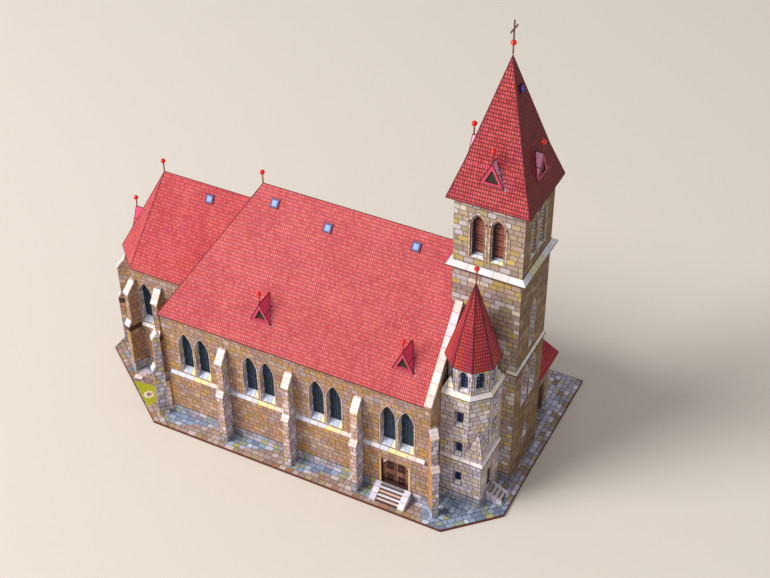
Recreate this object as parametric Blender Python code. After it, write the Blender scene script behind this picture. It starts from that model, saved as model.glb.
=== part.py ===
# Card model of a stone village church on its own paved base.
# A hipped nave with a lower choir and a three-sided apse, a square west tower,
# an octagonal stair turret and a lean-to porch.
# Every size below is in millimetres of the model, at about 1:150 of the church.
# x runs from the apse to the tower, y from the south front to the north side,
# and z up from the top of the base. The origin is where the nave's south wall
# would cross x = 0 at the level of the paving.

import bpy
import bmesh
from math import atan2, cos, hypot, pi, radians, sin, sqrt, tan
from mathutils import Matrix, Vector

MM = 0.001
GAP = 0.3
HALF_GAP = GAP / 2
BITE = 0.5  # how far a joined piece is sunk into what carries it
PAST = 5.0  # how far a cutting solid runs on past what it cuts
SHY = 0.1  # keeps two faces of joined pieces out of one plane

# Base plate
PLATE_THICKNESS = 1.8
PLATE_FRONT = -14.1
PLATE_BACK = 146.5
PLATE_EAST = -5.8
PLATE_WEST = 293.8
PLATE_OUTLINE = (
    (PLATE_EAST, 34.2), (58.8, PLATE_FRONT), (264.8, PLATE_FRONT), (PLATE_WEST, 13.8),
    (PLATE_WEST, PLATE_BACK), (74.0, PLATE_BACK), (PLATE_EAST, 86.8),
)

# Nave
WALL = 4.0
NAVE_EAST = 64.8
NAVE_WEST = 251.0
NAVE_WIDTH = 121.0
AXIS = NAVE_WIDTH / 2
NAVE_LENGTH = NAVE_WEST - NAVE_EAST
WALL_TOP = 82.3
EAVE_Z = 82.8
EAVE_OVERHANG = 1.5
RIDGE_Z = 157.2
RIDGE_EAST = 108.6
ROOF_CARD = 1.2
NAVE_SLOPE = (RIDGE_Z - EAVE_Z) / (AXIS + EAVE_OVERHANG)
COPING_THICKNESS = 1.2
COPING_PROUD = 0.4

# Bays of the nave: the places of the buttresses, and of the window pairs between them
BUTTRESS_PITCH = 46.9
BUTTRESS_FIRST = 110.0
BUTTRESS_X = tuple(BUTTRESS_FIRST + BUTTRESS_PITCH * i for i in range(3))
WINDOW_PAIR_X = (87.3, 134.0, 180.6, 228.9)
LANCET_WIDTH = 9.8
LANCET_GAP = 2.2
LANCET_SILL = 39.0
LANCET_SPRINGING = 62.0
LANCET_APEX = 72.4
SILL_RISE = 3.2
LANCET_STEPS = 5
GLASS_MARGIN = 1.5
PANE_THICKNESS = 0.6

# Buttresses, as distance from the wall and height
BUTTRESS_WIDTH = 4.3
BUTTRESS_FOOT = 9.4
BUTTRESS_HEAD = 7.0
BUTTRESS_LOWER_CAP = (39.0, 42.8)
BUTTRESS_UPPER_CAP = (64.7, 73.7)
CAP_THICKNESS = 0.8
CAP_PROUD = 0.3

# String course under the nave and choir windows
STRING_LOW = 35.6
STRING_HIGH = 38.4
STRING_DEPTH = 1.3
STRING_CORNER = 2.2
MOULDING_LIP = 0.6
MOULDING_EDGE = 0.5

# South door and its steps
DOOR_LEFT = 218.2
DOOR_RIGHT = 236.1
DOOR_SILL = 7.2
DOOR_HEAD = 27.2
DOOR_THICKNESS = 1.2
DOOR_RECESS = 1.8
DOOR_GROOVE = 0.5
STAIR_X = 226.6
STAIR_OUT = 10.4
STAIR_TOP = 6.6
STAIR_HALF = 7.7
STAIR_CHEEK = 4.0
STAIR_STEPS = 5
CHEEK_PROUD = 0.6  # how far a cheek wall runs out past the lowest step

# Choir and apse: a regular octagon closes the east end
CHOIR_HALF = 30.5
APSE_X = 35.6
CHOIR_RIDGE_Z = 143.0
CHOIR_SLOPE = (CHOIR_RIDGE_Z - EAVE_Z) / (CHOIR_HALF + EAVE_OVERHANG)
CHOIR_WINDOW_X = (31.0, 54.5)
CHOIR_BUTTRESS_X = 42.5

# Tower
TOWER_EAST = 244.1
TOWER_SOUTH = 39.5
TOWER_SIZE = 42.0
TOWER_WEST = TOWER_EAST + TOWER_SIZE
TOWER_NORTH = TOWER_SOUTH + TOWER_SIZE
TOWER_X = TOWER_EAST + TOWER_SIZE / 2
TOWER_HALF = TOWER_SIZE / 2
TOWER_WALL_TOP = 212.2
TOWER_EAVE_Z = 205.2
TOWER_EAVE_HALF = TOWER_HALF + 3.8
TOWER_BREAK_Z = 226.7
TOWER_BREAK_HALF = TOWER_EAVE_HALF - 7.3
TOWER_APEX_Z = 286.5
TOWER_STRING_LOW = 90.2
TOWER_STRING_HIGH = 92.7
TOWER_STRING_DEPTH = 0.8
BELT_LOW = 157.2
BELT_EDGE = 159.0
BELT_EDGE_HEIGHT = 0.6
BELT_TOP = 161.8
BELT_DEPTH = 2.9
BELFRY_WIDTH = 8.6
BELFRY_OFFSETS = (-6.5, 5.5)
BELFRY_SILL = 167.0
BELFRY_SILL_RISE = 1.9
BELFRY_SPRINGING = 190.2
BELFRY_APEX = 196.8
LOUVRE_COUNT = 9
LOUVRE_DEPTH = 1.0
LOUVRE_BACK = 1.8
# Left, right, sill, springing and apex of the west wall's lancets: one over a pair
TOWER_LANCETS = [
    (TOWER_HALF - 3.3, TOWER_HALF + 3.3, 97.0, 124.0, 132.0),
    (TOWER_HALF - 9.4, TOWER_HALF - 2.2, 54.5, 77.0, 86.0),
    (TOWER_HALF + 2.2, TOWER_HALF + 9.4, 54.5, 77.0, 86.0),
]
LOW_WINDOW = (TOWER_HALF - 3.0, TOWER_HALF + 3.0, 21.0, 33.5)

# Stair turret between the nave's west gable and the tower
TURRET_SIZE = 27.5
TURRET_HALF = TURRET_SIZE / 2
TURRET_SOUTH = 12.0
TURRET_WEST = NAVE_WEST + TURRET_SIZE
TURRET_X = NAVE_WEST + TURRET_HALF
TURRET_Y = TURRET_SOUTH + TURRET_HALF
TURRET_WALL = 3.0
TURRET_CUT = 9.0
TURRET_LEDGE_LOW = 35.3
TURRET_LEDGE_HIGH = 38.1
TURRET_LEDGE_DEPTH = 1.2
LEDGE_MITRE = 0.9
TURRET_CORNICE_EDGE = 1.3
CORNICE_EDGE_HEIGHT = 0.6
TURRET_SQUARE_TOP = 47.0
TURRET_BROACH_TOP = 60.0
TURRET_SHAFT_TOP = 86.5
LANTERN_BROACH_TOP = 97.4
LANTERN_LOW = 90.2
LANTERN_HIGH = 111.0
LANTERN_SILL = 90.9
LANTERN_SILL_RISE = 1.3
LANTERN_SPRINGING = 102.2
LANTERN_APEX = 106.6
LANTERN_WINDOW = 5.6
TURRET_EAVE_Z = 109.5
TURRET_EAVE_HALF = TURRET_HALF + 1.7
TURRET_APEX_Z = 163.0
SLIT_WIDTH = 4.8
SLIT_SILL_RISE = 1.4
SLIT_MARGIN = 1.0
TURRET_SLIT_X = 263.1
TURRET_SLITS = ((14.1, 24.9), (38.8, 50.2), (62.7, 74.9))
TURRET_WEST_SLIT_Y = 28.6
TURRET_WEST_SLITS = ((50.4, 62.0), (72.7, 84.0))
TURRET_DOOR_Y = (22.0, 29.6)
TURRET_DOOR_Z = (6.4, 24.6)
TURRET_STAIR_OUT = 9.8
TURRET_STAIR_TOP = 6.0
TURRET_STAIR_HALF = 3.6
TURRET_STAIR_CHEEK = 1.7
TURRET_STAIR_STEPS = 4
LEAF_BACK = 0.4
LEAF_FRONT = 1.4

# Porch in the corner between the nave's west gable and the tower's north side
PORCH_WEST = 280.0
PORCH_NORTH = 115.0
PORCH_WALL = 3.0
PORCH_EAVE_X = 284.4
PORCH_EAVE_Z = 44.6
PORCH_TOP_Z = 64.0
PORCH_ROOF_NORTH = 118.4
PORCH_DOOR_Y = (99.0, 109.0)
PORCH_DOOR_SILL = 1.4
PORCH_DOOR_TOP = 27.0
PORCH_STEP_OUT = 3.0
PORCH_STEP_SIDE = 1.0

# Dormers, pins, skylights and the cross
DORMER_HALF = 7.2
DORMER_HEIGHT = 14.6
DORMER_FOOT_Y = 9.0
DORMER_FRAME = 2.1
DORMER_RECESS = 1.2
NAVE_DORMER_X = (133.0, 228.3)
TOWER_DORMER_IN = 4.2
CHOIR_DORMER_Z = 93.0
DORMER_PIN = 7.0
RIDGE_PIN = 8.0
TURRET_PIN = 9.0
PIN_SET_BACK = 0.8
PIN_RADIUS = 1.5
PIN_STEM = 0.4
FINIAL_BALL = 6.5
CROSS_BAR = 7.8
CROSS_TOP = 12.7
CROSS_ARM = 4.6
CROSS_WIDTH = 1.1
CROSS_THICKNESS = 0.5
SKYLIGHT = (5.4, 6.0)
TOWER_SKYLIGHT = (3.6, 4.2)
SKYLIGHT_THICKNESS = 0.8
NAVE_SKYLIGHTS = ((120.1, 54.3), (157.9, 51.2), (214.5, 54.2))
CHOIR_SKYLIGHT_X = 71.0
CHOIR_SKYLIGHT_Z = 135.8
TOWER_SKYLIGHT_Z = 267.5

COLOURS = {
    "stone": ((0.56, 0.45, 0.37), 0.85, 0.0),
    "dressed_stone": ((0.80, 0.75, 0.67), 0.80, 0.0),
    "roof_tile": ((0.66, 0.20, 0.20), 0.75, 0.0),
    "paving": ((0.42, 0.42, 0.46), 0.85, 0.0),
    "window_glass": ((0.05, 0.08, 0.14), 0.35, 0.0),
    "door_wood": ((0.20, 0.11, 0.07), 0.70, 0.0),
    "louvre_wood": ((0.32, 0.12, 0.09), 0.75, 0.0),
    "pin_red": ((0.75, 0.07, 0.04), 0.30, 0.0),
}


def clear_scene():
    for item in list(bpy.data.objects):
        bpy.data.objects.remove(item, do_unlink=True)


def make_collection(name):
    collection = bpy.data.collections.new(name)
    bpy.context.scene.collection.children.link(collection)
    return collection


def make_material(name):
    colour, roughness, metallic = COLOURS[name]
    material = bpy.data.materials.new(name)
    material.use_nodes = True
    shader = material.node_tree.nodes["Principled BSDF"]
    shader.inputs["Base Color"].default_value = (*colour, 1.0)
    shader.inputs["Roughness"].default_value = roughness
    shader.inputs["Metallic"].default_value = metallic
    return material


clear_scene()
CHURCH = make_collection("church")
CUTTERS = make_collection("cutters")
MATERIALS = {name: make_material(name) for name in COLOURS}

# The empty sets the base plate's underside, at the middle of the plate, on the world origin.
BUILDING = bpy.data.objects.new("building_frame", None)
BUILDING.location = Vector((
    -(PLATE_EAST + PLATE_WEST) / 2, -(PLATE_FRONT + PLATE_BACK) / 2, PLATE_THICKNESS,
)) * MM
CHURCH.objects.link(BUILDING)
bpy.context.view_layer.update()


# Mesh helpers: every one takes and returns meshes in millimetres

def flat_mesh(outlines, low, high):
    """A plate with the first outline as its edge and the others as holes, from z low to z high."""
    curve = bpy.data.curves.new("outline", "CURVE")
    curve.dimensions = "2D"
    curve.fill_mode = "BOTH"
    curve.extrude = (high - low) / 2
    for outline in outlines:
        spline = curve.splines.new("POLY")
        spline.points.add(len(outline) - 1)
        spline.use_cyclic_u = True
        for point, (x, y) in zip(spline.points, outline):
            point.co = (x, y, 0.0, 1.0)
    holder = bpy.data.objects.new("outline", curve)
    CUTTERS.objects.link(holder)
    graph = bpy.context.evaluated_depsgraph_get()
    mesh = bpy.data.meshes.new_from_object(holder.evaluated_get(graph))
    bpy.data.objects.remove(holder)
    bpy.data.curves.remove(curve)
    mesh.transform(Matrix.Translation((0, 0, (low + high) / 2)))
    return tidied(mesh)


def tidied(mesh):
    """Weld the loose caps and point every face out."""
    work = bmesh.new()
    work.from_mesh(mesh)
    bmesh.ops.remove_doubles(work, verts=work.verts, dist=0.001)
    bmesh.ops.recalc_face_normals(work, faces=work.faces)
    work.to_mesh(mesh)
    work.free()
    return mesh


def hull_mesh(points):
    """The convex solid round some points."""
    work = bmesh.new()
    for point in points:
        work.verts.new(point)
    bmesh.ops.convex_hull(work, input=work.verts)
    inside = [vert for vert in work.verts if not vert.link_faces]
    bmesh.ops.delete(work, geom=inside, context="VERTS")
    mesh = bpy.data.meshes.new("hull")
    work.to_mesh(mesh)
    work.free()
    return tidied(mesh)


def turned_mesh(profile, sides, centre, closed=True):
    """Turn a profile of (distance to a flat side, z) about a vertical axis with a few flat sides."""
    work = bmesh.new()
    to_corner = 1 / cos(pi / sides)
    start = Matrix.Rotation(pi / sides, 3, "Z")
    verts = [work.verts.new(start @ Vector((flat * to_corner, 0, z))) for flat, z in profile]
    pairs = list(zip(verts, verts[1:] + verts[:1])) if closed else list(zip(verts, verts[1:]))
    edges = [work.edges.new(pair) for pair in pairs]
    bmesh.ops.spin(
        work, geom=verts + edges, cent=(0, 0, 0), axis=(0, 0, 1),
        angle=2 * pi, steps=sides, use_merge=True,
    )
    mesh = bpy.data.meshes.new("turned")
    work.to_mesh(mesh)
    work.free()
    mesh.transform(Matrix.Translation(centre))
    return tidied(mesh)


def sphere_mesh(radius, centre):
    work = bmesh.new()
    bmesh.ops.create_uvsphere(work, u_segments=12, v_segments=8, radius=radius)
    mesh = bpy.data.meshes.new("ball")
    work.to_mesh(mesh)
    work.free()
    mesh.transform(Matrix.Translation(centre))
    return mesh


def rod_mesh(radius, low, high):
    """An upright rod between two points, one above the other."""
    work = bmesh.new()
    bmesh.ops.create_cone(
        work, cap_ends=True, segments=8, radius1=radius, radius2=radius, depth=high[2] - low[2],
    )
    mesh = bpy.data.meshes.new("rod")
    work.to_mesh(mesh)
    work.free()
    mesh.transform(Matrix.Translation((low[0], low[1], (low[2] + high[2]) / 2)))
    return mesh


def box_mesh(low, high):
    work = bmesh.new()
    bmesh.ops.create_cube(work, size=1.0)
    mesh = bpy.data.meshes.new("box")
    work.to_mesh(mesh)
    work.free()
    size = [b - a for a, b in zip(low, high)]
    middle = [(a + b) / 2 for a, b in zip(low, high)]
    mesh.transform(Matrix.Translation(middle) @ Matrix.Diagonal((*size, 1.0)))
    return mesh


def boolean(mesh, others, operation):
    """Join other closed meshes to a mesh one by one, or cut them out of it, with exact booleans."""
    for other in others:
        holder = bpy.data.objects.new("worked", mesh)
        tool = bpy.data.objects.new("tool", other)
        tool.hide_render = True
        tool.display_type = "WIRE"
        CUTTERS.objects.link(holder)
        CUTTERS.objects.link(tool)
        modifier = holder.modifiers.new(operation.lower(), "BOOLEAN")
        modifier.operation = operation
        modifier.solver = "EXACT"
        modifier.object = tool
        graph = bpy.context.evaluated_depsgraph_get()
        mesh = tidied(bpy.data.meshes.new_from_object(holder.evaluated_get(graph)))
        for item in (holder, tool):
            bpy.data.objects.remove(item)
    return mesh


def cut(mesh, cutters):
    return boolean(mesh, cutters, "DIFFERENCE")


def fused(meshes):
    return boolean(meshes[0], meshes[1:], "UNION")


def add_part(name, mesh, material):
    """Put one named object, a single closed body, in the church."""
    mesh.transform(Matrix.Scale(MM, 4))
    mesh.name = name
    mesh.materials.clear()
    mesh.materials.append(MATERIALS[material])
    part = bpy.data.objects.new(name, mesh)
    part.parent = BUILDING
    CHURCH.objects.link(part)
    return part


# Frames for walls and for what stands on them

def wall_frame(start, end):
    """Local x runs along the wall, y up, and z out of its outer face."""
    along = Vector((end[0] - start[0], end[1] - start[1], 0)).normalized()
    up = Vector((0, 0, 1))
    out = along.cross(up)
    frame = Matrix((along, up, out)).transposed().to_4x4()
    frame.translation = (start[0], start[1], 0)
    return frame


def section_frame(point, direction):
    """Local x runs out from a wall, y up, and z sideways."""
    out = Vector((direction[0], direction[1], 0)).normalized()
    up = Vector((0, 0, 1))
    frame = Matrix((out, up, out.cross(up))).transposed().to_4x4()
    frame.translation = (point[0], point[1], 0)
    return frame


# Swaps local x and z, so that a section drawn as (out, up) is extruded along a wall.
SECTION_ALONG_WALL = Matrix(((0, 0, 1, 0), (0, 1, 0, 0), (1, 0, 0, 0), (0, 0, 0, 1)))


def wall_length(start, end):
    return hypot(end[0] - start[0], end[1] - start[1])


def rectangle(left, right, low, high):
    return [(left, low), (right, low), (right, high), (left, high)]


def lancet(left, right, sill, springing, apex, steps=LANCET_STEPS):
    """A pointed window: two straight sides and two arcs that meet at the apex."""
    half = (right - left) / 2
    rise = apex - springing
    radius = (half * half + rise * rise) / (2 * half)
    sweep = atan2(rise, radius - half)
    turns = [sweep * i / steps for i in range(steps + 1)]
    right_side = [(right - radius + radius * cos(a), springing + radius * sin(a)) for a in turns]
    left_side = [(left + radius - radius * cos(a), springing + radius * sin(a)) for a in turns[:-1]]
    return [(left, sill), (right, sill)] + right_side + left_side[::-1]


def wall_mesh(start, end, outline, holes, thickness, mitres=()):
    """A wall with holes. A mitre moves the inner edge at one distance along the wall."""
    mesh = flat_mesh([outline] + list(holes), -thickness, 0.0)
    for vert in mesh.vertices:
        if vert.co.z > -thickness / 2:
            continue
        for place, shift in mitres:
            if abs(vert.co.x - place) < 0.01:
                vert.co.x += shift
                break
    mesh.transform(wall_frame(start, end))
    return mesh


def sill_mesh(start, end, left, right, low, depth, rise=SILL_RISE):
    """A sloping sill that fills the foot of a window, high at the glass."""
    back = SHY - depth
    profile = [(back, low - BITE), (-BITE, low - BITE), (-BITE, low), (back, low + rise)]
    mesh = flat_mesh([profile], left - BITE, right + BITE)
    mesh.transform(wall_frame(start, end) @ SECTION_ALONG_WALL)
    return tidied(mesh)


def strip_mesh(start, end, left, right, section, mitres=(0.0, 0.0)):
    """A moulding along a wall. Its section is (distance out, height), and its ends may be mitred."""
    mesh = flat_mesh([section], left, right)
    for vert in mesh.vertices:
        near_left = abs(vert.co.z - left) < 0.01
        vert.co.z += vert.co.x * (-mitres[0] if near_left else mitres[1])
    mesh.transform(wall_frame(start, end) @ SECTION_ALONG_WALL)
    return tidied(mesh)


def glass_mesh(start, end, left, right, low, high, depth):
    """A flat sheet close behind a wall."""
    mesh = box_mesh((left, low, -depth - GAP - PANE_THICKNESS), (right, high, -depth - GAP))
    mesh.transform(wall_frame(start, end))
    return tidied(mesh)


def moulding_section(low, high, depth):
    """A band with a short underside, a narrow edge and a sloping top."""
    edge = low + MOULDING_LIP
    return [(-BITE, low), (depth, edge), (depth, edge + MOULDING_EDGE), (0.0, high), (-BITE, high)]


# Base

def build_base():
    add_part("base_plate", flat_mesh([PLATE_OUTLINE], -PLATE_THICKNESS, -GAP), "paving")


# Nave

SOUTH_WALL = ((NAVE_EAST, 0.0), (NAVE_WEST, 0.0))
NORTH_WALL = ((NAVE_WEST, NAVE_WIDTH), (NAVE_EAST, NAVE_WIDTH))
STRING_SECTION = moulding_section(STRING_LOW, STRING_HIGH, STRING_DEPTH)


def nave_lancets(mirrored):
    """The left edges of the nave's lancets, measured along their wall."""
    offsets = (-LANCET_GAP / 2 - LANCET_WIDTH, LANCET_GAP / 2)
    lefts = [middle + offset - NAVE_EAST for middle in WINDOW_PAIR_X for offset in offsets]
    if mirrored:
        lefts = [NAVE_LENGTH - left - LANCET_WIDTH for left in lefts]
    return sorted(lefts)


def nave_string_stretches(mirrored):
    """The stretches of the string course, which stops short of every buttress."""
    half = BUTTRESS_WIDTH / 2 + GAP
    corner = BUTTRESS_WIDTH / sqrt(2) + GAP
    edges = [NAVE_EAST + corner] + [x + side * half for x in BUTTRESS_X for side in (-1, 1)]
    edges.append(NAVE_WEST - corner)
    stretches = [(a - NAVE_EAST, b - NAVE_EAST) for a, b in zip(edges[0::2], edges[1::2])]
    if mirrored:
        stretches = [(NAVE_LENGTH - b, NAVE_LENGTH - a) for a, b in stretches]
    return stretches


def build_nave_walls():
    ends = ((HALF_GAP, WALL), (NAVE_LENGTH - HALF_GAP, -WALL))
    outline = rectangle(HALF_GAP, NAVE_LENGTH - HALF_GAP, 0.0, WALL_TOP)
    door = rectangle(DOOR_LEFT - NAVE_EAST, DOOR_RIGHT - NAVE_EAST, DOOR_SILL, DOOR_HEAD)
    for name, wall, mirrored in (("nave_south", SOUTH_WALL, False),
                                 ("nave_north", NORTH_WALL, True)):
        lefts = nave_lancets(mirrored)
        holes = [lancet(left, left + LANCET_WIDTH, LANCET_SILL, LANCET_SPRINGING, LANCET_APEX)
                 for left in lefts]
        if not mirrored:
            holes.append(door)
        pieces = [wall_mesh(*wall, outline, holes, WALL, ends)]
        pieces += [sill_mesh(*wall, left, left + LANCET_WIDTH, LANCET_SILL, WALL) for left in lefts]
        pieces += [strip_mesh(*wall, a, b, STRING_SECTION) for a, b in nave_string_stretches(mirrored)]
        add_part(name + "_wall", fused(pieces), "stone")
        glass = glass_mesh(*wall, lefts[0] - GLASS_MARGIN, lefts[-1] + LANCET_WIDTH + GLASS_MARGIN,
                           LANCET_SILL - GLASS_MARGIN, LANCET_APEX + GLASS_MARGIN, WALL)
        add_part(name + "_glass", glass, "window_glass")


def gable_height(y):
    """The top of the gable wall under its coping, level with the roof beside it."""
    return EAVE_Z + (min(y, NAVE_WIDTH - y) + EAVE_OVERHANG) * NAVE_SLOPE


def coping_mesh(foot, head):
    """A strip of dressed stone up the gable's slope, between two distances across the nave."""
    lift = COPING_THICKNESS * hypot(1.0, NAVE_SLOPE)
    foot_z, head_z = gable_height(foot), gable_height(head)
    section = [(foot, foot_z - BITE), (head, head_z - BITE), (head, head_z + lift), (foot, foot_z + lift)]
    mesh = flat_mesh([section], NAVE_WEST - WALL, NAVE_WEST + COPING_PROUD)
    mesh.transform(Matrix(((0, 0, 1, 0), (1, 0, 0, 0), (0, 1, 0, 0), (0, 0, 0, 1))))
    return tidied(mesh)


def build_west_gable():
    """The two halves of the gable, either side of the tower, each with its coping."""
    south = ((NAVE_WEST, 0.0), (NAVE_WEST, TOWER_SOUTH - GAP))
    length = wall_length(*south)
    outline = [(HALF_GAP, 0.0), (length, 0.0), (length, gable_height(length)),
               (HALF_GAP, gable_height(HALF_GAP))]
    wall = wall_mesh(*south, outline, [], WALL, ((HALF_GAP, WALL),))
    coping = coping_mesh(-EAVE_OVERHANG, TOWER_SOUTH - GAP)
    add_part("west_gable_south", fused([wall, coping]), "stone")
    north = ((NAVE_WEST, TOWER_NORTH + GAP), (NAVE_WEST, NAVE_WIDTH))
    length = wall_length(*north)
    outline = [(0.0, 0.0), (length - HALF_GAP, 0.0), (length - HALF_GAP, gable_height(HALF_GAP)),
               (0.0, gable_height(north[0][1]))]
    wall = wall_mesh(*north, outline, [], WALL, ((length - HALF_GAP, -WALL),))
    coping = coping_mesh(NAVE_WIDTH + EAVE_OVERHANG, TOWER_NORTH + GAP)
    add_part("west_gable_north", fused([wall, coping]), "stone")


def build_east_shoulders():
    """The nave's east wall stands only beside the choir, which opens into the nave."""
    length = AXIS - CHOIR_HALF - GAP
    south = ((NAVE_EAST, length), (NAVE_EAST, 0.0))
    north = ((NAVE_EAST, NAVE_WIDTH), (NAVE_EAST, NAVE_WIDTH - length))
    outline = rectangle(0.0, length - HALF_GAP, 0.0, WALL_TOP)
    add_part("nave_east_wall_south",
             wall_mesh(*south, outline, [], WALL, ((length - HALF_GAP, -WALL),)), "stone")
    outline = rectangle(HALF_GAP, length, 0.0, WALL_TOP)
    add_part("nave_east_wall_north",
             wall_mesh(*north, outline, [], WALL, ((HALF_GAP, WALL),)), "stone")


def roof_drop(slope):
    """How far a roof's underside lies below its top, measured straight down."""
    return ROOF_CARD * hypot(1.0, slope)


def nave_roof_hull(grow=0.0, drop=0.0, beyond=0.0):
    """The solid under the nave's hipped roof: grown outward, let down or run on to the west."""
    west = NAVE_WEST - WALL - GAP
    south = -EAVE_OVERHANG - grow
    north = NAVE_WIDTH + EAVE_OVERHANG + grow
    east = NAVE_EAST - EAVE_OVERHANG - grow
    low, high = EAVE_Z - grow - drop, RIDGE_Z + grow - drop
    return hull_mesh([
        (east, south, low), (west + beyond, south, low), (west + beyond, north, low), (east, north, low),
        (RIDGE_EAST - grow, AXIS, high), (west + beyond, AXIS, high),
    ])


def build_nave_roof():
    inside = nave_roof_hull(0.0, roof_drop(NAVE_SLOPE), PAST)
    tower = box_mesh((TOWER_EAST - GAP, TOWER_SOUTH - GAP, 0.0),
                     (NAVE_WEST, TOWER_NORTH + GAP, RIDGE_Z + PAST))
    roof = cut(nave_roof_hull(), [inside, tower])
    added = [dormer_mesh(*place) for place in nave_dormers()]
    added += [skylight(*place) for place in nave_skylights()]
    added.append(pin_mesh((RIDGE_EAST, AXIS, RIDGE_Z), RIDGE_PIN))
    added += [dormer_pin(*place) for place in nave_dormers() if place[0][1] < AXIS]
    add_part("nave_roof", fused([roof] + added), "roof_tile")


def build_south_door():
    """A closed double door in its doorway, and a flight of steps between two cheek walls."""
    middle = (DOOR_LEFT + DOOR_RIGHT) / 2
    leaves = box_mesh((DOOR_LEFT + GAP, DOOR_RECESS, DOOR_SILL + GAP),
                      (DOOR_RIGHT - GAP, DOOR_RECESS + DOOR_THICKNESS, DOOR_HEAD - GAP))
    meeting = box_mesh((middle - HALF_GAP, 0.0, DOOR_SILL),
                       (middle + HALF_GAP, DOOR_RECESS + DOOR_GROOVE, DOOR_HEAD))
    add_part("south_door", cut(leaves, [meeting]), "door_wood")
    steps = flight_mesh((STAIR_X, 0.0), (0, -1), STAIR_OUT, STAIR_TOP, STAIR_STEPS, STAIR_HALF, STAIR_CHEEK)
    add_part("south_steps", steps, "dressed_stone")


def flight_mesh(point, direction, out, top, count, half, cheek_width):
    """Steps that climb to a wall between two sloping cheek walls."""
    frame = section_frame(point, direction)
    run, rise = out / count, top / count
    outline = [(GAP, 0.0)]
    for step in range(count):
        outline.append((out - run * step, rise * step))
        outline.append((out - run * step, rise * (step + 1)))
    outline.append((GAP, top))
    foot = out + CHEEK_PROUD
    cheek = [(GAP, 0.0), (foot, 0.0), (foot, rise), (GAP, top + BITE)]
    pieces = [flat_mesh([outline], -half - BITE, half + BITE),
              flat_mesh([cheek], half, half + cheek_width),
              flat_mesh([cheek], -half - cheek_width, -half)]
    for mesh in pieces:
        mesh.transform(frame)
        tidied(mesh)
    return fused(pieces)


# Buttresses

def slope_strip(low, high, sink, rise):
    """The section of a cap slab on the slope between two points, sunk a little into it."""
    first, last = Vector(low), Vector(high)
    run = (last - first).normalized()
    normal = Vector((run.y, -run.x)) if run.x < 0 else Vector((-run.y, run.x))
    return [tuple(first - normal * sink), tuple(first + normal * rise),
            tuple(last + normal * rise), tuple(last - normal * sink)]


def buttress_mesh(point, direction, foot, base=0.0):
    """A stepped buttress with a sloping cap on each of its two stages."""
    low, high = BUTTRESS_LOWER_CAP
    upper_low, upper_high = BUTTRESS_UPPER_CAP
    foot_z = upper_high - (upper_high - upper_low) * foot / BUTTRESS_HEAD
    profile = [(foot, base), (BUTTRESS_FOOT, base), (BUTTRESS_FOOT, low), (BUTTRESS_HEAD, high),
               (BUTTRESS_HEAD, upper_low), (foot, foot_z)]
    lower = slope_strip((BUTTRESS_FOOT, low), (BUTTRESS_HEAD, high), BITE, CAP_THICKNESS)
    lower[2] = (BUTTRESS_HEAD - BITE, lower[2][1])
    lower[3] = (BUTTRESS_HEAD - BITE, lower[3][1])
    upper = slope_strip((BUTTRESS_HEAD, upper_low), (foot + CAP_THICKNESS, foot_z - CAP_THICKNESS),
                        BITE, CAP_THICKNESS)
    half = BUTTRESS_WIDTH / 2
    pieces = [flat_mesh([profile], -half, half)]
    pieces += [flat_mesh([section], -half - CAP_PROUD, half + CAP_PROUD) for section in (lower, upper)]
    for mesh in pieces:
        mesh.transform(section_frame(point, direction))
        tidied(mesh)
    return fused(pieces)


def build_nave_buttresses():
    for side, y, out in (("south", 0.0, -1), ("north", NAVE_WIDTH, 1)):
        for number, x in enumerate(BUTTRESS_X, start=1):
            add_part(f"{side}_buttress_{number}", buttress_mesh((x, y), (0, out), GAP), "stone")
        for place, x, along in (("east", NAVE_EAST, -1), ("west", NAVE_WEST, 1)):
            foot = BUTTRESS_WIDTH / 2 + GAP
            add_part(f"{side}_{place}_corner_buttress", buttress_mesh((x, y), (along, out), foot), "stone")


# Choir and apse

def octagon_corner(apothem, index):
    """A corner of the octagon about the apse's centre."""
    angle = radians(22.5 + 45 * index)
    radius = apothem / cos(pi / 8)
    return (APSE_X + radius * cos(angle), AXIS + radius * sin(angle))


def choir_outline(apothem, west):
    """The choir's plan at some distance from its axis: two straight sides and three facets."""
    corners = [octagon_corner(apothem, index) for index in (2, 3, 4, 5)]
    return [(west, AXIS + apothem)] + corners + [(west, AXIS - apothem)]


def choir_band(outer, inner, west):
    """A strip of even width that follows the choir's plan."""
    return choir_outline(outer, west) + choir_outline(inner, west)[::-1]


def choir_sides():
    """The five faces of the choir, each with its lancets' left edges and string stretches."""
    corners = [octagon_corner(CHOIR_HALF, index) for index in (2, 3, 4, 5)]
    west = NAVE_EAST - GAP
    half = LANCET_WIDTH / 2
    sides = []
    for start, end in zip(corners, corners[1:]):
        length = wall_length(start, end)
        sides.append((start, end, [length / 2 - half], [(STRING_CORNER, length - STRING_CORNER)]))
    for start, end in (((west, AXIS + CHOIR_HALF), corners[0]), (corners[-1], (west, AXIS - CHOIR_HALF))):
        length = wall_length(start, end)
        lefts = [abs(x - start[0]) - half for x in CHOIR_WINDOW_X]
        place = abs(CHOIR_BUTTRESS_X - start[0])
        clear = BUTTRESS_WIDTH / 2 - BITE
        near, far = (BITE, STRING_CORNER) if start[0] > end[0] else (STRING_CORNER, BITE)
        sides.append((start, end, lefts, [(near, place - clear), (place + clear, length - far)]))
    return sides


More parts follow.
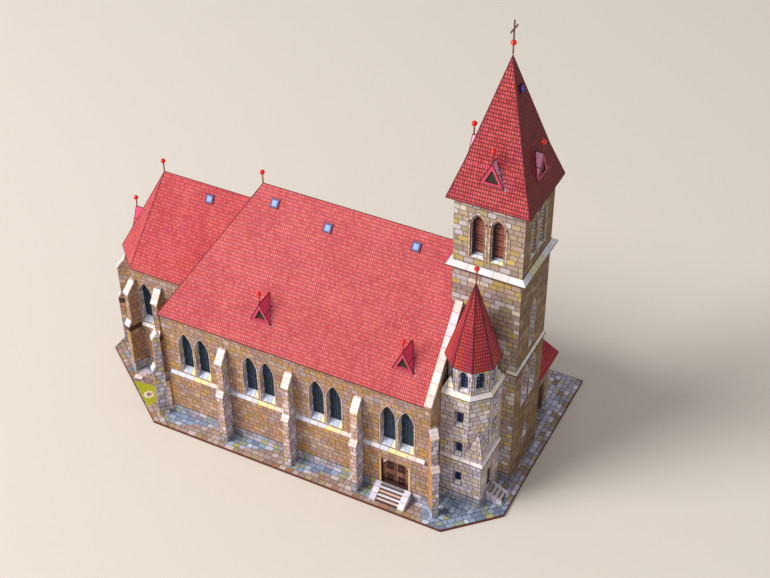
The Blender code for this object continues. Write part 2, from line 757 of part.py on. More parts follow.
def build_choir_wall():
    """One wall goes round the choir and the apse, with its buttresses, sills and string course."""
    west = NAVE_EAST - GAP
    wall = flat_mesh([choir_band(CHOIR_HALF, CHOIR_HALF - WALL, west)], 0.0, WALL_TOP)
    windows = []
    added = []
    for start, end, lefts, stretches in choir_sides():
        for left in lefts:
            outline = lancet(left, left + LANCET_WIDTH, LANCET_SILL, LANCET_SPRINGING, LANCET_APEX)
            window = flat_mesh([outline], -WALL - PAST, PAST)
            window.transform(wall_frame(start, end))
            windows.append(tidied(window))
            added.append(sill_mesh(start, end, left, left + LANCET_WIDTH, LANCET_SILL, WALL))
        added += [strip_mesh(start, end, a, b, STRING_SECTION) for a, b in stretches]
    for index in (2, 3, 4, 5):
        x, y = octagon_corner(CHOIR_HALF, index)
        added.append(buttress_mesh((x, y), (x - APSE_X, y - AXIS), -2 * BITE, SHY))
    for out in (-1, 1):
        added.append(buttress_mesh((CHOIR_BUTTRESS_X, AXIS + out * CHOIR_HALF), (0, out), -2 * BITE, SHY))
    add_part("choir_wall", fused([cut(wall, windows)] + added), "stone")
    inner = CHOIR_HALF - WALL - GAP
    glass = flat_mesh([choir_band(inner, inner - PANE_THICKNESS, west - GAP)],
                      LANCET_SILL - GLASS_MARGIN, LANCET_APEX + GLASS_MARGIN)
    add_part("choir_glass", glass, "window_glass")


def choir_roof_hull(drop=0.0, beyond=0.0):
    """The solid under the choir's roof: straight slopes that end in three apse facets."""
    west = RIDGE_EAST + beyond
    points = [(x, y, EAVE_Z - drop) for x, y in choir_outline(CHOIR_HALF + EAVE_OVERHANG, west)]
    points += [(APSE_X, AXIS, CHOIR_RIDGE_Z - drop), (west, AXIS, CHOIR_RIDGE_Z - drop)]
    return hull_mesh(points)


def build_choir_roof():
    """The roof is cut off against the nave's hip."""
    inside = choir_roof_hull(roof_drop(CHOIR_SLOPE), PAST)
    west = box_mesh((NAVE_EAST - EAVE_OVERHANG - 2 * GAP, 0.0, WALL_TOP - PAST),
                    (RIDGE_EAST + PAST, NAVE_WIDTH, EAVE_Z + GAP))
    roof = cut(choir_roof_hull(), [inside, nave_roof_hull(GAP), west])
    added = [dormer_mesh(*place) for place in choir_dormers()]
    added += [dormer_pin(*place) for place in choir_dormers()]
    added += [skylight(*place) for place in choir_skylights()]
    added.append(pin_mesh((APSE_X, AXIS, CHOIR_RIDGE_Z), RIDGE_PIN))
    add_part("choir_roof", fused([roof] + added), "roof_tile")


# Tower

TOWER_CORNERS = ((TOWER_EAST, TOWER_SOUTH), (TOWER_WEST, TOWER_SOUTH),
                 (TOWER_WEST, TOWER_NORTH), (TOWER_EAST, TOWER_NORTH))
TOWER_SIDES = ("tower_south_wall", "tower_west_wall", "tower_north_wall", "tower_east_wall")
TOWER_CENTRE = (TOWER_X, AXIS, 0.0)


def tower_side(index):
    return TOWER_CORNERS[index], TOWER_CORNERS[(index + 1) % 4]


def belfry_lefts():
    return [TOWER_HALF + offset - BELFRY_WIDTH / 2 for offset in BELFRY_OFFSETS]


def build_tower_walls():
    outline = rectangle(HALF_GAP, TOWER_SIZE - HALF_GAP, 0.0, TOWER_WALL_TOP)
    ends = ((HALF_GAP, WALL), (TOWER_SIZE - HALF_GAP, -WALL))
    string = moulding_section(TOWER_STRING_LOW, TOWER_STRING_HIGH, TOWER_STRING_DEPTH)
    near, far = HALF_GAP + SHY, TOWER_SIZE - HALF_GAP - SHY
    gable = TOWER_WEST - NAVE_WEST - COPING_PROUD - GAP
    turret = TURRET_WEST + TURRET_CORNICE_EDGE + GAP - TOWER_EAST
    strings = {"tower_south_wall": (turret, far, string, (0.0, 1.0)),
               "tower_west_wall": (near, far, string, (1.0, 1.0)),
               "tower_north_wall": (near, gable, string, (1.0, 0.0))}
    for index, name in enumerate(TOWER_SIDES):
        side = tower_side(index)
        windows = [(left, left + BELFRY_WIDTH, BELFRY_SILL, BELFRY_SPRINGING, BELFRY_APEX)
                   for left in belfry_lefts()]
        if name == "tower_west_wall":
            windows += TOWER_LANCETS
        holes = [lancet(*window) for window in windows]
        if name == "tower_west_wall":
            holes.append(rectangle(*LOW_WINDOW))
            windows.append(LOW_WINDOW)
        pieces = [wall_mesh(*side, outline, holes, WALL, ends)]
        pieces += [sill_mesh(*side, *window[:3], WALL, BELFRY_SILL_RISE) for window in windows]
        if name in strings:
            pieces.append(strip_mesh(*side, *strings[name]))
        add_part(name, fused(pieces), "stone")


def build_tower_belt():
    profile = [(TOWER_HALF + GAP, BELT_LOW), (TOWER_HALF + BELT_DEPTH, BELT_EDGE),
               (TOWER_HALF + BELT_DEPTH, BELT_EDGE + BELT_EDGE_HEIGHT), (TOWER_HALF + GAP, BELT_TOP)]
    add_part("tower_belt", turned_mesh(profile, 4, TOWER_CENTRE), "dressed_stone")


def build_belfry_louvres():
    """Sloping slats close the belfry openings: one louvred box stands inside the four walls."""
    face = TOWER_HALF - WALL - GAP
    low = BELFRY_SILL - GLASS_MARGIN
    slat = (BELFRY_APEX + GLASS_MARGIN - low) / LOUVRE_COUNT
    profile = [(face - LOUVRE_BACK, low)]
    for step in range(LOUVRE_COUNT):
        profile.append((face, low + slat * step))
        profile.append((face - LOUVRE_DEPTH, low + slat * (step + 1)))
    profile.append((face - LOUVRE_BACK, low + slat * LOUVRE_COUNT))
    add_part("belfry_louvres", turned_mesh(profile, 4, TOWER_CENTRE), "louvre_wood")


def build_tower_glass():
    left, right = TOWER_LANCETS[1][0], TOWER_LANCETS[2][1]
    glass = glass_mesh(*tower_side(1), left - GLASS_MARGIN, right + GLASS_MARGIN,
                       LOW_WINDOW[2] - GLASS_MARGIN, TOWER_LANCETS[0][4] + GLASS_MARGIN, WALL)
    add_part("tower_west_glass", glass, "window_glass")


def roof_profile(points, thickness):
    """The section of a turned card roof: down its outside from the axis, and back up its inside."""
    first, last = points[0], points[-1]
    steep = (first[1] - points[1][1]) / (points[1][0] - first[0])
    low_steep = (points[-2][1] - last[1]) / (last[0] - points[-2][0])
    inner = [(last[0] - thickness * hypot(1, low_steep) / low_steep, last[1])]
    inner += [(x - thickness * hypot(1, steep) / steep, z) for x, z in points[-2:0:-1]]
    inner.append((0.0, first[1] - thickness * hypot(1, steep)))
    return points + inner


def build_tower_roof():
    points = [(0.0, TOWER_APEX_Z), (TOWER_BREAK_HALF, TOWER_BREAK_Z), (TOWER_EAVE_HALF, TOWER_EAVE_Z)]
    roof = turned_mesh(roof_profile(points, ROOF_CARD), 4, TOWER_CENTRE, closed=False)
    added = [dormer_mesh(*place) for place in tower_dormers()]
    added += [dormer_pin(*place) for place in tower_dormers()]
    added += [skylight(*place) for place in tower_skylights()]
    add_part("tower_roof", fused([roof] + added), "roof_tile")


def build_tower_finial():
    """A pin that stands on the tower's apex, with a flat card cross on its head."""
    ball = TOWER_APEX_Z + FINIAL_BALL
    half, thick = CROSS_WIDTH / 2, CROSS_THICKNESS / 2
    upright = box_mesh((TOWER_X - thick, AXIS - half, ball + PIN_RADIUS - BITE),
                       (TOWER_X + thick, AXIS + half, ball + CROSS_TOP))
    arms = box_mesh((TOWER_X - thick + SHY / 2, AXIS - CROSS_ARM, ball + CROSS_BAR - half),
                    (TOWER_X + thick - SHY / 2, AXIS + CROSS_ARM, ball + CROSS_BAR + half))
    stem = pin_mesh((TOWER_X, AXIS, TOWER_APEX_Z + BITE + GAP), FINIAL_BALL - BITE - GAP)
    add_part("tower_finial", fused([stem, upright, arms]), "pin_red")


# Stair turret

TURRET_SOUTH_WALL = ((NAVE_WEST + GAP, TURRET_SOUTH), (TURRET_WEST, TURRET_SOUTH))
TURRET_WEST_WALL = ((TURRET_WEST, TURRET_SOUTH), (TURRET_WEST, TOWER_SOUTH - GAP))
LANTERN_APOTHEM = TURRET_HALF - GAP - COPING_PROUD


def build_turret_shaft():
    """Two walls meet in a square corner below and stand back above for a slanting panel."""
    eighth = TURRET_WALL * tan(pi / 8)
    ledge = moulding_section(TURRET_LEDGE_LOW, TURRET_LEDGE_HIGH, TURRET_LEDGE_DEPTH)
    length = wall_length(*TURRET_SOUTH_WALL)
    near, back = length - HALF_GAP, length - TURRET_CUT - HALF_GAP
    outline = [(0.0, 0.0), (near, 0.0), (near, TURRET_SQUARE_TOP), (back, TURRET_SQUARE_TOP),
               (back, TURRET_SHAFT_TOP), (0.0, TURRET_SHAFT_TOP)]
    slits = slit_outlines(TURRET_SLIT_X - TURRET_SOUTH_WALL[0][0], TURRET_SLITS)
    pieces = [wall_mesh(*TURRET_SOUTH_WALL, outline, [rectangle(*slit) for slit in slits], TURRET_WALL,
                        ((near, -TURRET_WALL), (back, -eighth)))]
    pieces += slit_sills(TURRET_SOUTH_WALL, slits)
    pieces.append(strip_mesh(*TURRET_SOUTH_WALL, 2 * SHY, near - SHY, ledge, (0.0, LEDGE_MITRE)))
    add_part("turret_south_wall", fused(pieces), "stone")

    length = wall_length(*TURRET_WEST_WALL)
    near, back = HALF_GAP, TURRET_CUT + HALF_GAP
    outline = [(near, 0.0), (length, 0.0), (length, TURRET_SHAFT_TOP), (back, TURRET_SHAFT_TOP),
               (back, TURRET_SQUARE_TOP), (near, TURRET_SQUARE_TOP)]
    doorway = rectangle(TURRET_DOOR_Y[0] - TURRET_SOUTH, TURRET_DOOR_Y[1] - TURRET_SOUTH, *TURRET_DOOR_Z)
    slits = slit_outlines(TURRET_WEST_SLIT_Y - TURRET_SOUTH, TURRET_WEST_SLITS)
    holes = [doorway] + [rectangle(*slit) for slit in slits]
    pieces = [wall_mesh(*TURRET_WEST_WALL, outline, holes, TURRET_WALL,
                        ((near, TURRET_WALL), (back, eighth)))]
    pieces += slit_sills(TURRET_WEST_WALL, slits)
    pieces.append(strip_mesh(*TURRET_WEST_WALL, near + SHY, length - 2 * SHY, ledge, (LEDGE_MITRE, 0.0)))
    add_part("turret_west_wall", fused(pieces), "stone")
    add_part("turret_corner_wall", turret_corner_mesh(), "stone")


def slit_outlines(middle, heights):
    """Left, right, foot and head of the small windows that stand over one another in a wall."""
    half = SLIT_WIDTH / 2
    return [(middle - half, middle + half, low, high) for low, high in heights]


def slit_sills(wall, slits):
    return [sill_mesh(*wall, *slit[:3], TURRET_WALL, SLIT_SILL_RISE) for slit in slits]


def turret_corner_mesh():
    """The slanting panel of the shaft, and the broach that leads it out to the square corner."""
    start = (TURRET_WEST - TURRET_CUT, TURRET_SOUTH)
    end = (TURRET_WEST, TURRET_SOUTH + TURRET_CUT)
    length = wall_length(start, end)
    eighth = TURRET_WALL * tan(pi / 8)
    low = TURRET_SQUARE_TOP + GAP
    outline = rectangle(HALF_GAP, length - HALF_GAP, low, TURRET_SHAFT_TOP)
    panel = wall_mesh(start, end, outline, [], TURRET_WALL,
                      ((HALF_GAP, eighth), (length - HALF_GAP, -eighth)))
    x, y, half = TURRET_WEST, TURRET_SOUTH, TURRET_CUT / 2
    broach = hull_mesh([
        (start[0] + GAP, start[1], low), (x, y, low), (end[0], end[1] - GAP, low),
        (x - half, y + half, TURRET_BROACH_TOP), (x - half - 2 * BITE, y + half + 2 * BITE, low),
    ])
    return fused([panel, broach])


def turret_ring(edge, z):
    """The shaft's plan moved out by an edge: square except for the slanting corner."""
    west, south, back = TURRET_WEST + edge, TURRET_SOUTH - edge, TURRET_CUT + edge * (2 - sqrt(2))
    east, north = NAVE_WEST + COPING_PROUD + GAP, TOWER_SOUTH - GAP
    return [(east, south, z), (west - back, south, z), (west, south + back, z),
            (west, north, z), (east, north, z)]


def build_turret_cornice():
    """A floor slab with a sloping edge, and the two broaches that turn the square into an octagon."""
    low, top = TURRET_SHAFT_TOP + GAP, LANTERN_LOW - GAP
    edge = TURRET_CORNICE_EDGE
    slab = hull_mesh(turret_ring(edge, low) + turret_ring(edge, low + CORNICE_EDGE_HEIGHT)
                     + turret_ring(0.0, top))
    inside = TURRET_HALF - SHY
    north_west = lantern_broach(inside, TOWER_SOUTH - GAP - TURRET_Y - SHY, top)
    south_east = lantern_broach(NAVE_WEST + COPING_PROUD + GAP - TURRET_X + SHY, -inside, top)
    add_part("turret_cornice", fused([slab, north_west, south_east]), "dressed_stone")


def lantern_broach(x, y, low):
    """A small pyramid in a corner of the floor slab, against a slanting side of the lantern."""
    side = LANTERN_APOTHEM + GAP
    reach = side * sqrt(2)
    middle = side * sqrt(0.5)
    right, back = (1 if x > 0 else -1), (1 if y > 0 else -1)
    corners = [(x, y), (x, back * (reach - abs(x))), (right * (reach - abs(y)), y)]
    points = [(TURRET_X + u, TURRET_Y + v, low - BITE) for u, v in corners]
    apex = (TURRET_X + right * middle, TURRET_Y + back * middle, LANTERN_BROACH_TOP)
    return hull_mesh(points + [apex])


def octagon_tube(apothem, thickness, low, high):
    profile = [(apothem, low), (apothem, high), (apothem - thickness, high), (apothem - thickness, low)]
    return turned_mesh(profile, 8, (TURRET_X, TURRET_Y, 0.0))


def build_turret_lantern():
    """An eight-sided stage with a small lancet in each side."""
    half = LANTERN_WINDOW / 2
    windows = []
    sills = []
    reach = TURRET_HALF + PAST
    for turn in range(8):
        across = Matrix.Rotation(turn * pi / 4, 4, "Z")
        place = Matrix.Translation((TURRET_X, TURRET_Y, 0.0)) @ across
        start = place @ Vector((-half, -LANTERN_APOTHEM, 0))
        end = place @ Vector((half, -LANTERN_APOTHEM, 0))
        sills.append(sill_mesh(start.xy, end.xy, 0.0, LANTERN_WINDOW, LANTERN_SILL, TURRET_WALL,
                               LANTERN_SILL_RISE))
        if turn < 4:
            outline = lancet(-half, half, LANTERN_SILL, LANTERN_SPRINGING, LANTERN_APEX)
            window = flat_mesh([outline], -reach, reach)
            window.transform(place @ Matrix.Rotation(pi / 2, 4, "X"))
            windows.append(tidied(window))
    tube = cut(octagon_tube(LANTERN_APOTHEM, TURRET_WALL, LANTERN_LOW, LANTERN_HIGH), windows)
    add_part("turret_lantern", fused([tube] + sills), "stone")
    glass = octagon_tube(LANTERN_APOTHEM - TURRET_WALL - GAP, PANE_THICKNESS,
                         LANTERN_LOW, LANTERN_APEX + GLASS_MARGIN)
    add_part("turret_lantern_glass", glass, "window_glass")
    behind = TURRET_WALL + GAP
    outline = turret_line(behind) + turret_line(behind + PANE_THICKNESS)[::-1]
    glass = flat_mesh([outline], TURRET_SLITS[0][0] - SLIT_MARGIN, TURRET_WEST_SLITS[-1][1] + SLIT_MARGIN)
    add_part("turret_stair_glass", glass, "window_glass")


def turret_line(inset):
    """The shaft's two walls and slanting panel in plan, moved inward, from slit to slit."""
    south, west = TURRET_SOUTH + inset, TURRET_WEST - inset
    back = TURRET_CUT + inset * (sqrt(2) - 2)
    reach = SLIT_WIDTH / 2 + SLIT_MARGIN
    return [(TURRET_SLIT_X - reach, south), (west - back, south), (west, south + back),
            (west, TURRET_WEST_SLIT_Y + reach)]


def gable_keep_out():
    """The space of the south gable and its coping, which the turret's roof stays clear of."""
    clear = COPING_THICKNESS * hypot(1.0, NAVE_SLOPE) + 2 * GAP
    foot, head = -EAVE_OVERHANG - PAST, TOWER_SOUTH
    ends = ((foot, WALL_TOP - PAST), (head, WALL_TOP - PAST), (head, gable_height(head) + clear),
            (foot, gable_height(foot) + clear))
    return hull_mesh([(x, y, z) for x in (NAVE_WEST - WALL - PAST, NAVE_WEST + COPING_PROUD + GAP)
                      for y, z in ends])


def build_turret_roof():
    points = [(0.0, TURRET_APEX_Z), (TURRET_EAVE_HALF, TURRET_EAVE_Z)]
    roof = turned_mesh(roof_profile(points, ROOF_CARD), 8, (TURRET_X, TURRET_Y, 0.0), closed=False)
    tower = box_mesh((TOWER_EAST, TOWER_SOUTH - GAP, TURRET_EAVE_Z - PAST),
                     (TOWER_WEST, TOWER_NORTH, TURRET_APEX_Z + PAST))
    pieces = [cut(roof, [nave_roof_hull(GAP), gable_keep_out(), tower])]
    pieces.append(pin_mesh((TURRET_X, TURRET_Y, TURRET_APEX_Z), TURRET_PIN))
    add_part("turret_roof", fused(pieces), "roof_tile")


def build_turret_door():
    x = TURRET_WEST - TURRET_WALL
    leaf = box_mesh((x + LEAF_BACK, TURRET_DOOR_Y[0] + GAP, TURRET_DOOR_Z[0] + GAP),
                    (x + LEAF_FRONT, TURRET_DOOR_Y[1] - GAP, TURRET_DOOR_Z[1] - GAP))
    add_part("turret_door", leaf, "door_wood")
    steps = flight_mesh((TURRET_WEST, sum(TURRET_DOOR_Y) / 2), (1, 0), TURRET_STAIR_OUT, TURRET_STAIR_TOP,
                        TURRET_STAIR_STEPS, TURRET_STAIR_HALF, TURRET_STAIR_CHEEK)
    add_part("turret_steps", steps, "dressed_stone")


# Porch

def porch_roof_z(x):
    slope = (PORCH_TOP_Z - PORCH_EAVE_Z) / (PORCH_EAVE_X - NAVE_WEST)
    return PORCH_EAVE_Z + (PORCH_EAVE_X - x) * slope


def build_porch():
    slope = (PORCH_TOP_Z - PORCH_EAVE_Z) / (PORCH_EAVE_X - NAVE_WEST)
    lift = ROOF_CARD * hypot(1.0, slope)
    under = lift + GAP
    west = ((PORCH_WEST, TOWER_NORTH + GAP), (PORCH_WEST, PORCH_NORTH))
    edge = wall_length(*west) - HALF_GAP
    top = porch_roof_z(PORCH_WEST) - under
    doorway = rectangle(PORCH_DOOR_Y[0] - west[0][1], PORCH_DOOR_Y[1] - west[0][1],
                        PORCH_DOOR_SILL, PORCH_DOOR_TOP)
    wall = wall_mesh(*west, rectangle(0.0, edge, 0.0, top), [doorway], PORCH_WALL, ((edge, -PORCH_WALL),))
    step = box_mesh((PORCH_WEST - BITE, PORCH_DOOR_Y[0] - PORCH_STEP_SIDE, 0.0),
                    (PORCH_WEST + PORCH_STEP_OUT, PORCH_DOOR_Y[1] + PORCH_STEP_SIDE, PORCH_DOOR_SILL))
    add_part("porch_west_wall", fused([wall, step]), "stone")
    north = ((PORCH_WEST, PORCH_NORTH), (NAVE_WEST + GAP, PORCH_NORTH))
    length = wall_length(*north)
    outline = [(HALF_GAP, 0.0), (length, 0.0), (length, porch_roof_z(NAVE_WEST + GAP) - under),
               (HALF_GAP, top)]
    wall = wall_mesh(*north, outline, [], PORCH_WALL, ((HALF_GAP, PORCH_WALL),))
    add_part("porch_north_wall", wall, "stone")
    x = PORCH_WEST - PORCH_WALL
    leaf = box_mesh((x + LEAF_BACK, PORCH_DOOR_Y[0] + GAP, PORCH_DOOR_SILL + GAP),
                    (x + LEAF_FRONT, PORCH_DOOR_Y[1] - GAP, PORCH_DOOR_TOP - GAP))
    add_part("porch_door", leaf, "door_wood")
    east = NAVE_WEST + COPING_PROUD + GAP
    section = [(east, porch_roof_z(east) - lift), (PORCH_EAVE_X, PORCH_EAVE_Z - lift),
               (PORCH_EAVE_X, PORCH_EAVE_Z), (east, porch_roof_z(east))]
    roof = flat_mesh([section], TOWER_NORTH + GAP, PORCH_ROOF_NORTH)
    roof.transform(Matrix(((1, 0, 0, 0), (0, 0, 1, 0), (0, 1, 0, 0), (0, 0, 0, 1))))
    add_part("porch_roof", tidied(roof), "roof_tile")


# Dormers, skylights and pins

def dormer_mesh(front, out, base_z, slope):
    """A gabled dormer: an upright triangle whose ridge runs back level into the slope behind it."""
    out = Vector((out[0], out[1], 0)).normalized()
    side = Vector((-out.y, out.x, 0))
    foot = Vector((front[0], front[1], base_z))
    sunk = foot - out * BITE - Vector((0, 0, BITE))
    back = foot - out * (DORMER_HEIGHT / slope + BITE) + Vector((0, 0, DORMER_HEIGHT))
    points = [foot + side * DORMER_HALF, foot - side * DORMER_HALF, foot + Vector((0, 0, DORMER_HEIGHT)),
              sunk + side * DORMER_HALF, sunk - side * DORMER_HALF, back, back - Vector((0, 0, BITE))]
    body = hull_mesh([tuple(point) for point in points])
    edge = hypot(DORMER_HALF, DORMER_HEIGHT)
    head = DORMER_HEIGHT - DORMER_FRAME * edge / DORMER_HALF
    half = (head - DORMER_FRAME) * DORMER_HALF / DORMER_HEIGHT
    opening = [(-half, DORMER_FRAME), (half, DORMER_FRAME), (0.0, head)]
    recess = flat_mesh([opening], -DORMER_RECESS, PAST)
    frame = Matrix((side, Vector((0, 0, 1)), out)).transposed().to_4x4()
    frame.translation = foot
    recess.transform(frame)
    return cut(body, [tidied(recess)])


def dormer_pin(front, out, base_z, slope):
    out = Vector((out[0], out[1], 0)).normalized()
    point = Vector((front[0], front[1], base_z + DORMER_HEIGHT)) - out * PIN_SET_BACK
    return pin_mesh(tuple(point), DORMER_PIN)


def pin_mesh(point, length):
    """A round pin head on its stem, which is stuck a little into what it stands on."""
    x, y, z = point
    stem = rod_mesh(PIN_STEM, (x, y, z - BITE), (x, y, z + length))
    return fused([stem, sphere_mesh(PIN_RADIUS, (x, y, z + length))])


def nave_dormers():
    """Front point, outward direction, height of the foot and slope for each nave dormer."""
    foot_z = EAVE_Z + (DORMER_FOOT_Y + EAVE_OVERHANG) * NAVE_SLOPE
    return [((x, y), out, foot_z, NAVE_SLOPE) for x in NAVE_DORMER_X
            for y, out in ((DORMER_FOOT_Y, (0, -1)), (NAVE_WIDTH - DORMER_FOOT_Y, (0, 1)))]


def tower_dormers():
    slope = (TOWER_BREAK_Z - TOWER_EAVE_Z) / (TOWER_EAVE_HALF - TOWER_BREAK_HALF)
    reach = TOWER_EAVE_HALF - TOWER_DORMER_IN
    foot_z = TOWER_EAVE_Z + TOWER_DORMER_IN * slope
    return [((TOWER_X + reach * x, AXIS + reach * y), (x, y), foot_z, slope)
            for x, y in ((0, -1), (1, 0), (0, 1), (-1, 0))]


def choir_dormers():
    reach = CHOIR_HALF + EAVE_OVERHANG - (CHOIR_DORMER_Z - EAVE_Z) / CHOIR_SLOPE
    return [((APSE_X - reach, AXIS), (-1, 0), CHOIR_DORMER_Z, CHOIR_SLOPE)]


def nave_skylights():
    return [((x, y, EAVE_Z + (y + EAVE_OVERHANG) * NAVE_SLOPE), (0, -1), NAVE_SLOPE)
            for x, y in NAVE_SKYLIGHTS]


def choir_skylights():
    y = AXIS - (CHOIR_RIDGE_Z - CHOIR_SKYLIGHT_Z) / CHOIR_SLOPE
    return [((CHOIR_SKYLIGHT_X, y, CHOIR_SKYLIGHT_Z), (0, -1), CHOIR_SLOPE)]


def tower_skylights():
    slope = (TOWER_APEX_Z - TOWER_BREAK_Z) / TOWER_BREAK_HALF
    x = TOWER_X + (TOWER_APEX_Z - TOWER_SKYLIGHT_Z) / slope
    return [((x, AXIS, TOWER_SKYLIGHT_Z), (1, 0), slope, TOWER_SKYLIGHT)]


def skylight(point, out, slope, size=SKYLIGHT):
    """A flat framed pane on a roof slope, centred on a point of the slope and sunk a little into it."""
    width, length = size
    mesh = box_mesh((-width / 2, -length / 2, -BITE), (width / 2, length / 2, SKYLIGHT_THICKNESS))
    out = Vector((out[0], out[1], 0)).normalized()
    normal = (out * slope + Vector((0, 0, 1))).normalized()
    across = Vector((0, 0, 1)).cross(out)
    frame = Matrix((across, normal.cross(across), normal)).transposed().to_4x4()
    frame.translation = point
    mesh.transform(frame)
    return mesh


build_base()
build_nave_walls()
build_west_gable()
build_east_shoulders()
build_nave_roof()
build_nave_buttresses()
build_south_door()
build_choir_wall()
build_choir_roof()
build_tower_walls()
build_tower_belt()
build_belfry_louvres()
build_tower_glass()
build_tower_roof()
build_tower_finial()
build_turret_shaft()
build_turret_cornice()
build_turret_lantern()
build_turret_roof()
build_turret_door()
build_porch()
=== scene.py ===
from math import atan2, cos, hypot, pi, radians, sin, sqrt, tan
from random import Random

import bmesh
import bpy
from mathutils import Matrix, Vector


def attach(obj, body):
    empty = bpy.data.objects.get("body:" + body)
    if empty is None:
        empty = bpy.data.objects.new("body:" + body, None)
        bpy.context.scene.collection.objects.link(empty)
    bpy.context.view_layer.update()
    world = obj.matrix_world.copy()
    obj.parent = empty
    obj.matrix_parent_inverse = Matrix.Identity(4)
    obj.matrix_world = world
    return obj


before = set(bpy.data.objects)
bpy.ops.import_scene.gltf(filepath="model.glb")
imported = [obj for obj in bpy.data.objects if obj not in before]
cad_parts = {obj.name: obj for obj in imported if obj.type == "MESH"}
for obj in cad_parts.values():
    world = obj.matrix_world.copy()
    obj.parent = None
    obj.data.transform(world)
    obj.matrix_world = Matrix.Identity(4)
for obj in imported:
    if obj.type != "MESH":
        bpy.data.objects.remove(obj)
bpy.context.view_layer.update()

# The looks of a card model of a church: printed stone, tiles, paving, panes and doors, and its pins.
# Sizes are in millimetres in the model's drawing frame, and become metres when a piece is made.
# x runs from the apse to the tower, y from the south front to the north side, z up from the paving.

MM = 0.001
TO_WORLD = Vector((-144.0, -66.2, 1.8))

# The model's main sizes
WALL = 4.0
GAP = 0.3
NAVE_EAST, NAVE_WEST, NAVE_WIDTH = 64.8, 251.0, 121.0
AXIS = NAVE_WIDTH / 2
EAVE_Z, EAVE_OVERHANG = 82.8, 1.5
RIDGE_Z, RIDGE_EAST = 157.2, 108.6
NAVE_SLOPE = (RIDGE_Z - EAVE_Z) / (AXIS + EAVE_OVERHANG)
BUTTRESS_X = tuple(110.0 + 46.9 * i for i in range(3))
WINDOW_PAIR_X = (87.3, 134.0, 180.6, 228.9)
LANCET_WIDTH, LANCET_GAP = 9.8, 2.2
LANCET_SILL, LANCET_SPRINGING, LANCET_APEX = 39.0, 62.0, 72.4
SILL_RISE = 3.2
BUTTRESS_WIDTH, BUTTRESS_FOOT, BUTTRESS_HEAD = 4.3, 9.4, 7.0
LOWER_CAP, UPPER_CAP = (39.0, 42.8), (64.7, 73.7)
CAP_THICKNESS, CAP_PROUD = 0.8, 0.3
STRING_LOW, STRING_HIGH, STRING_DEPTH = 35.6, 38.4, 1.3
STRING_CORNER = 2.2
MOULDING_LIP, MOULDING_EDGE = 0.6, 0.5
COPING_THICKNESS, COPING_PROUD, COPING_SUNK = 1.2, 0.4, 0.5
DOOR = (218.2, 236.1, 7.2, 27.2)
DOOR_RECESS = 1.8
STAIR_X, STAIR = 226.6, (10.4, 6.6, 5, 7.7, 4.0)
CHEEK_PROUD = 0.6
CHOIR_HALF, APSE_X, CHOIR_RIDGE_Z = 30.5, 35.6, 143.0
CHOIR_SLOPE = (CHOIR_RIDGE_Z - EAVE_Z) / (CHOIR_HALF + EAVE_OVERHANG)
CHOIR_WINDOW_X, CHOIR_BUTTRESS_X = (31.0, 54.5), 42.5
TOWER_EAST, TOWER_SOUTH, TOWER_SIZE = 244.1, 39.5, 42.0
TOWER_WEST, TOWER_NORTH = TOWER_EAST + TOWER_SIZE, TOWER_SOUTH + TOWER_SIZE
TOWER_HALF = TOWER_SIZE / 2
TOWER_X = TOWER_EAST + TOWER_HALF
TOWER_EAVE_Z, TOWER_EAVE_HALF = 205.2, TOWER_HALF + 3.8
TOWER_BREAK_Z, TOWER_BREAK_HALF = 226.7, TOWER_HALF - 3.5
TOWER_APEX_Z = 286.5
TOWER_STRING = (90.2, 92.7, 0.8)
BELT_LOW, BELT_EDGE, BELT_EDGE_HEIGHT, BELT_TOP, BELT_DEPTH = 157.2, 159.0, 0.6, 161.8, 2.9
BELFRY_WIDTH, BELFRY_OFFSETS = 8.6, (-6.5, 5.5)
BELFRY_SILL, BELFRY_SPRINGING, BELFRY_APEX = 167.0, 190.2, 196.8
BELFRY_SILL_RISE = 1.9
TOWER_LANCETS = (
    (TOWER_HALF - 3.3, TOWER_HALF + 3.3, 97.0, 124.0, 132.0),
    (TOWER_HALF - 9.4, TOWER_HALF - 2.2, 54.5, 77.0, 86.0),
    (TOWER_HALF + 2.2, TOWER_HALF + 9.4, 54.5, 77.0, 86.0),
)
LOW_WINDOW = (TOWER_HALF - 3.0, TOWER_HALF + 3.0, 21.0, 33.5)
TURRET_SIZE, TURRET_SOUTH, TURRET_WALL, TURRET_CUT = 27.5, 12.0, 3.0, 9.0
TURRET_HALF, TURRET_WEST = TURRET_SIZE / 2, NAVE_WEST + TURRET_SIZE
TURRET_X, TURRET_Y = NAVE_WEST + TURRET_HALF, TURRET_SOUTH + TURRET_HALF
TURRET_EAVE_Z, TURRET_APEX_Z = 109.5, 163.0
TURRET_LEDGE = (35.3, 38.1, 1.2)
LEDGE_MITRE = 0.9
TURRET_SHAFT_TOP, TURRET_SQUARE_TOP, TURRET_BROACH_TOP = 86.5, 47.0, 60.0
LANTERN_APOTHEM, LANTERN_LOW = TURRET_HALF - 0.7, 90.2
LANTERN_WINDOW, LANTERN_SILL, LANTERN_SILL_RISE = 5.6, 90.9, 1.3
LANTERN_SPRINGING, LANTERN_APEX = 102.2, 106.6
SLIT_HALF, SLIT_SILL_RISE = 2.4, 1.4
TURRET_SLIT_X, TURRET_SLITS = 263.1, ((14.1, 24.9), (38.8, 50.2), (62.7, 74.9))
TURRET_WEST_SLIT_Y, TURRET_WEST_SLITS = 28.6, ((50.4, 62.0), (72.7, 84.0))
TURRET_DOOR = (22.0, 29.6, 6.4, 24.6)
TURRET_STAIR = (9.8, 6.0, 4, 3.6, 1.7)
PORCH_WEST, PORCH_NORTH, PORCH_EAVE_Z = 280.0, 115.0, 44.6
PORCH_DOOR = (99.0, 109.0, 1.4, 27.0)
DORMER_HALF, DORMER_HEIGHT, DORMER_FOOT_Y = 7.2, 14.6, 9.0
DORMER_FRAME, DORMER_RECESS = 2.1, 1.2
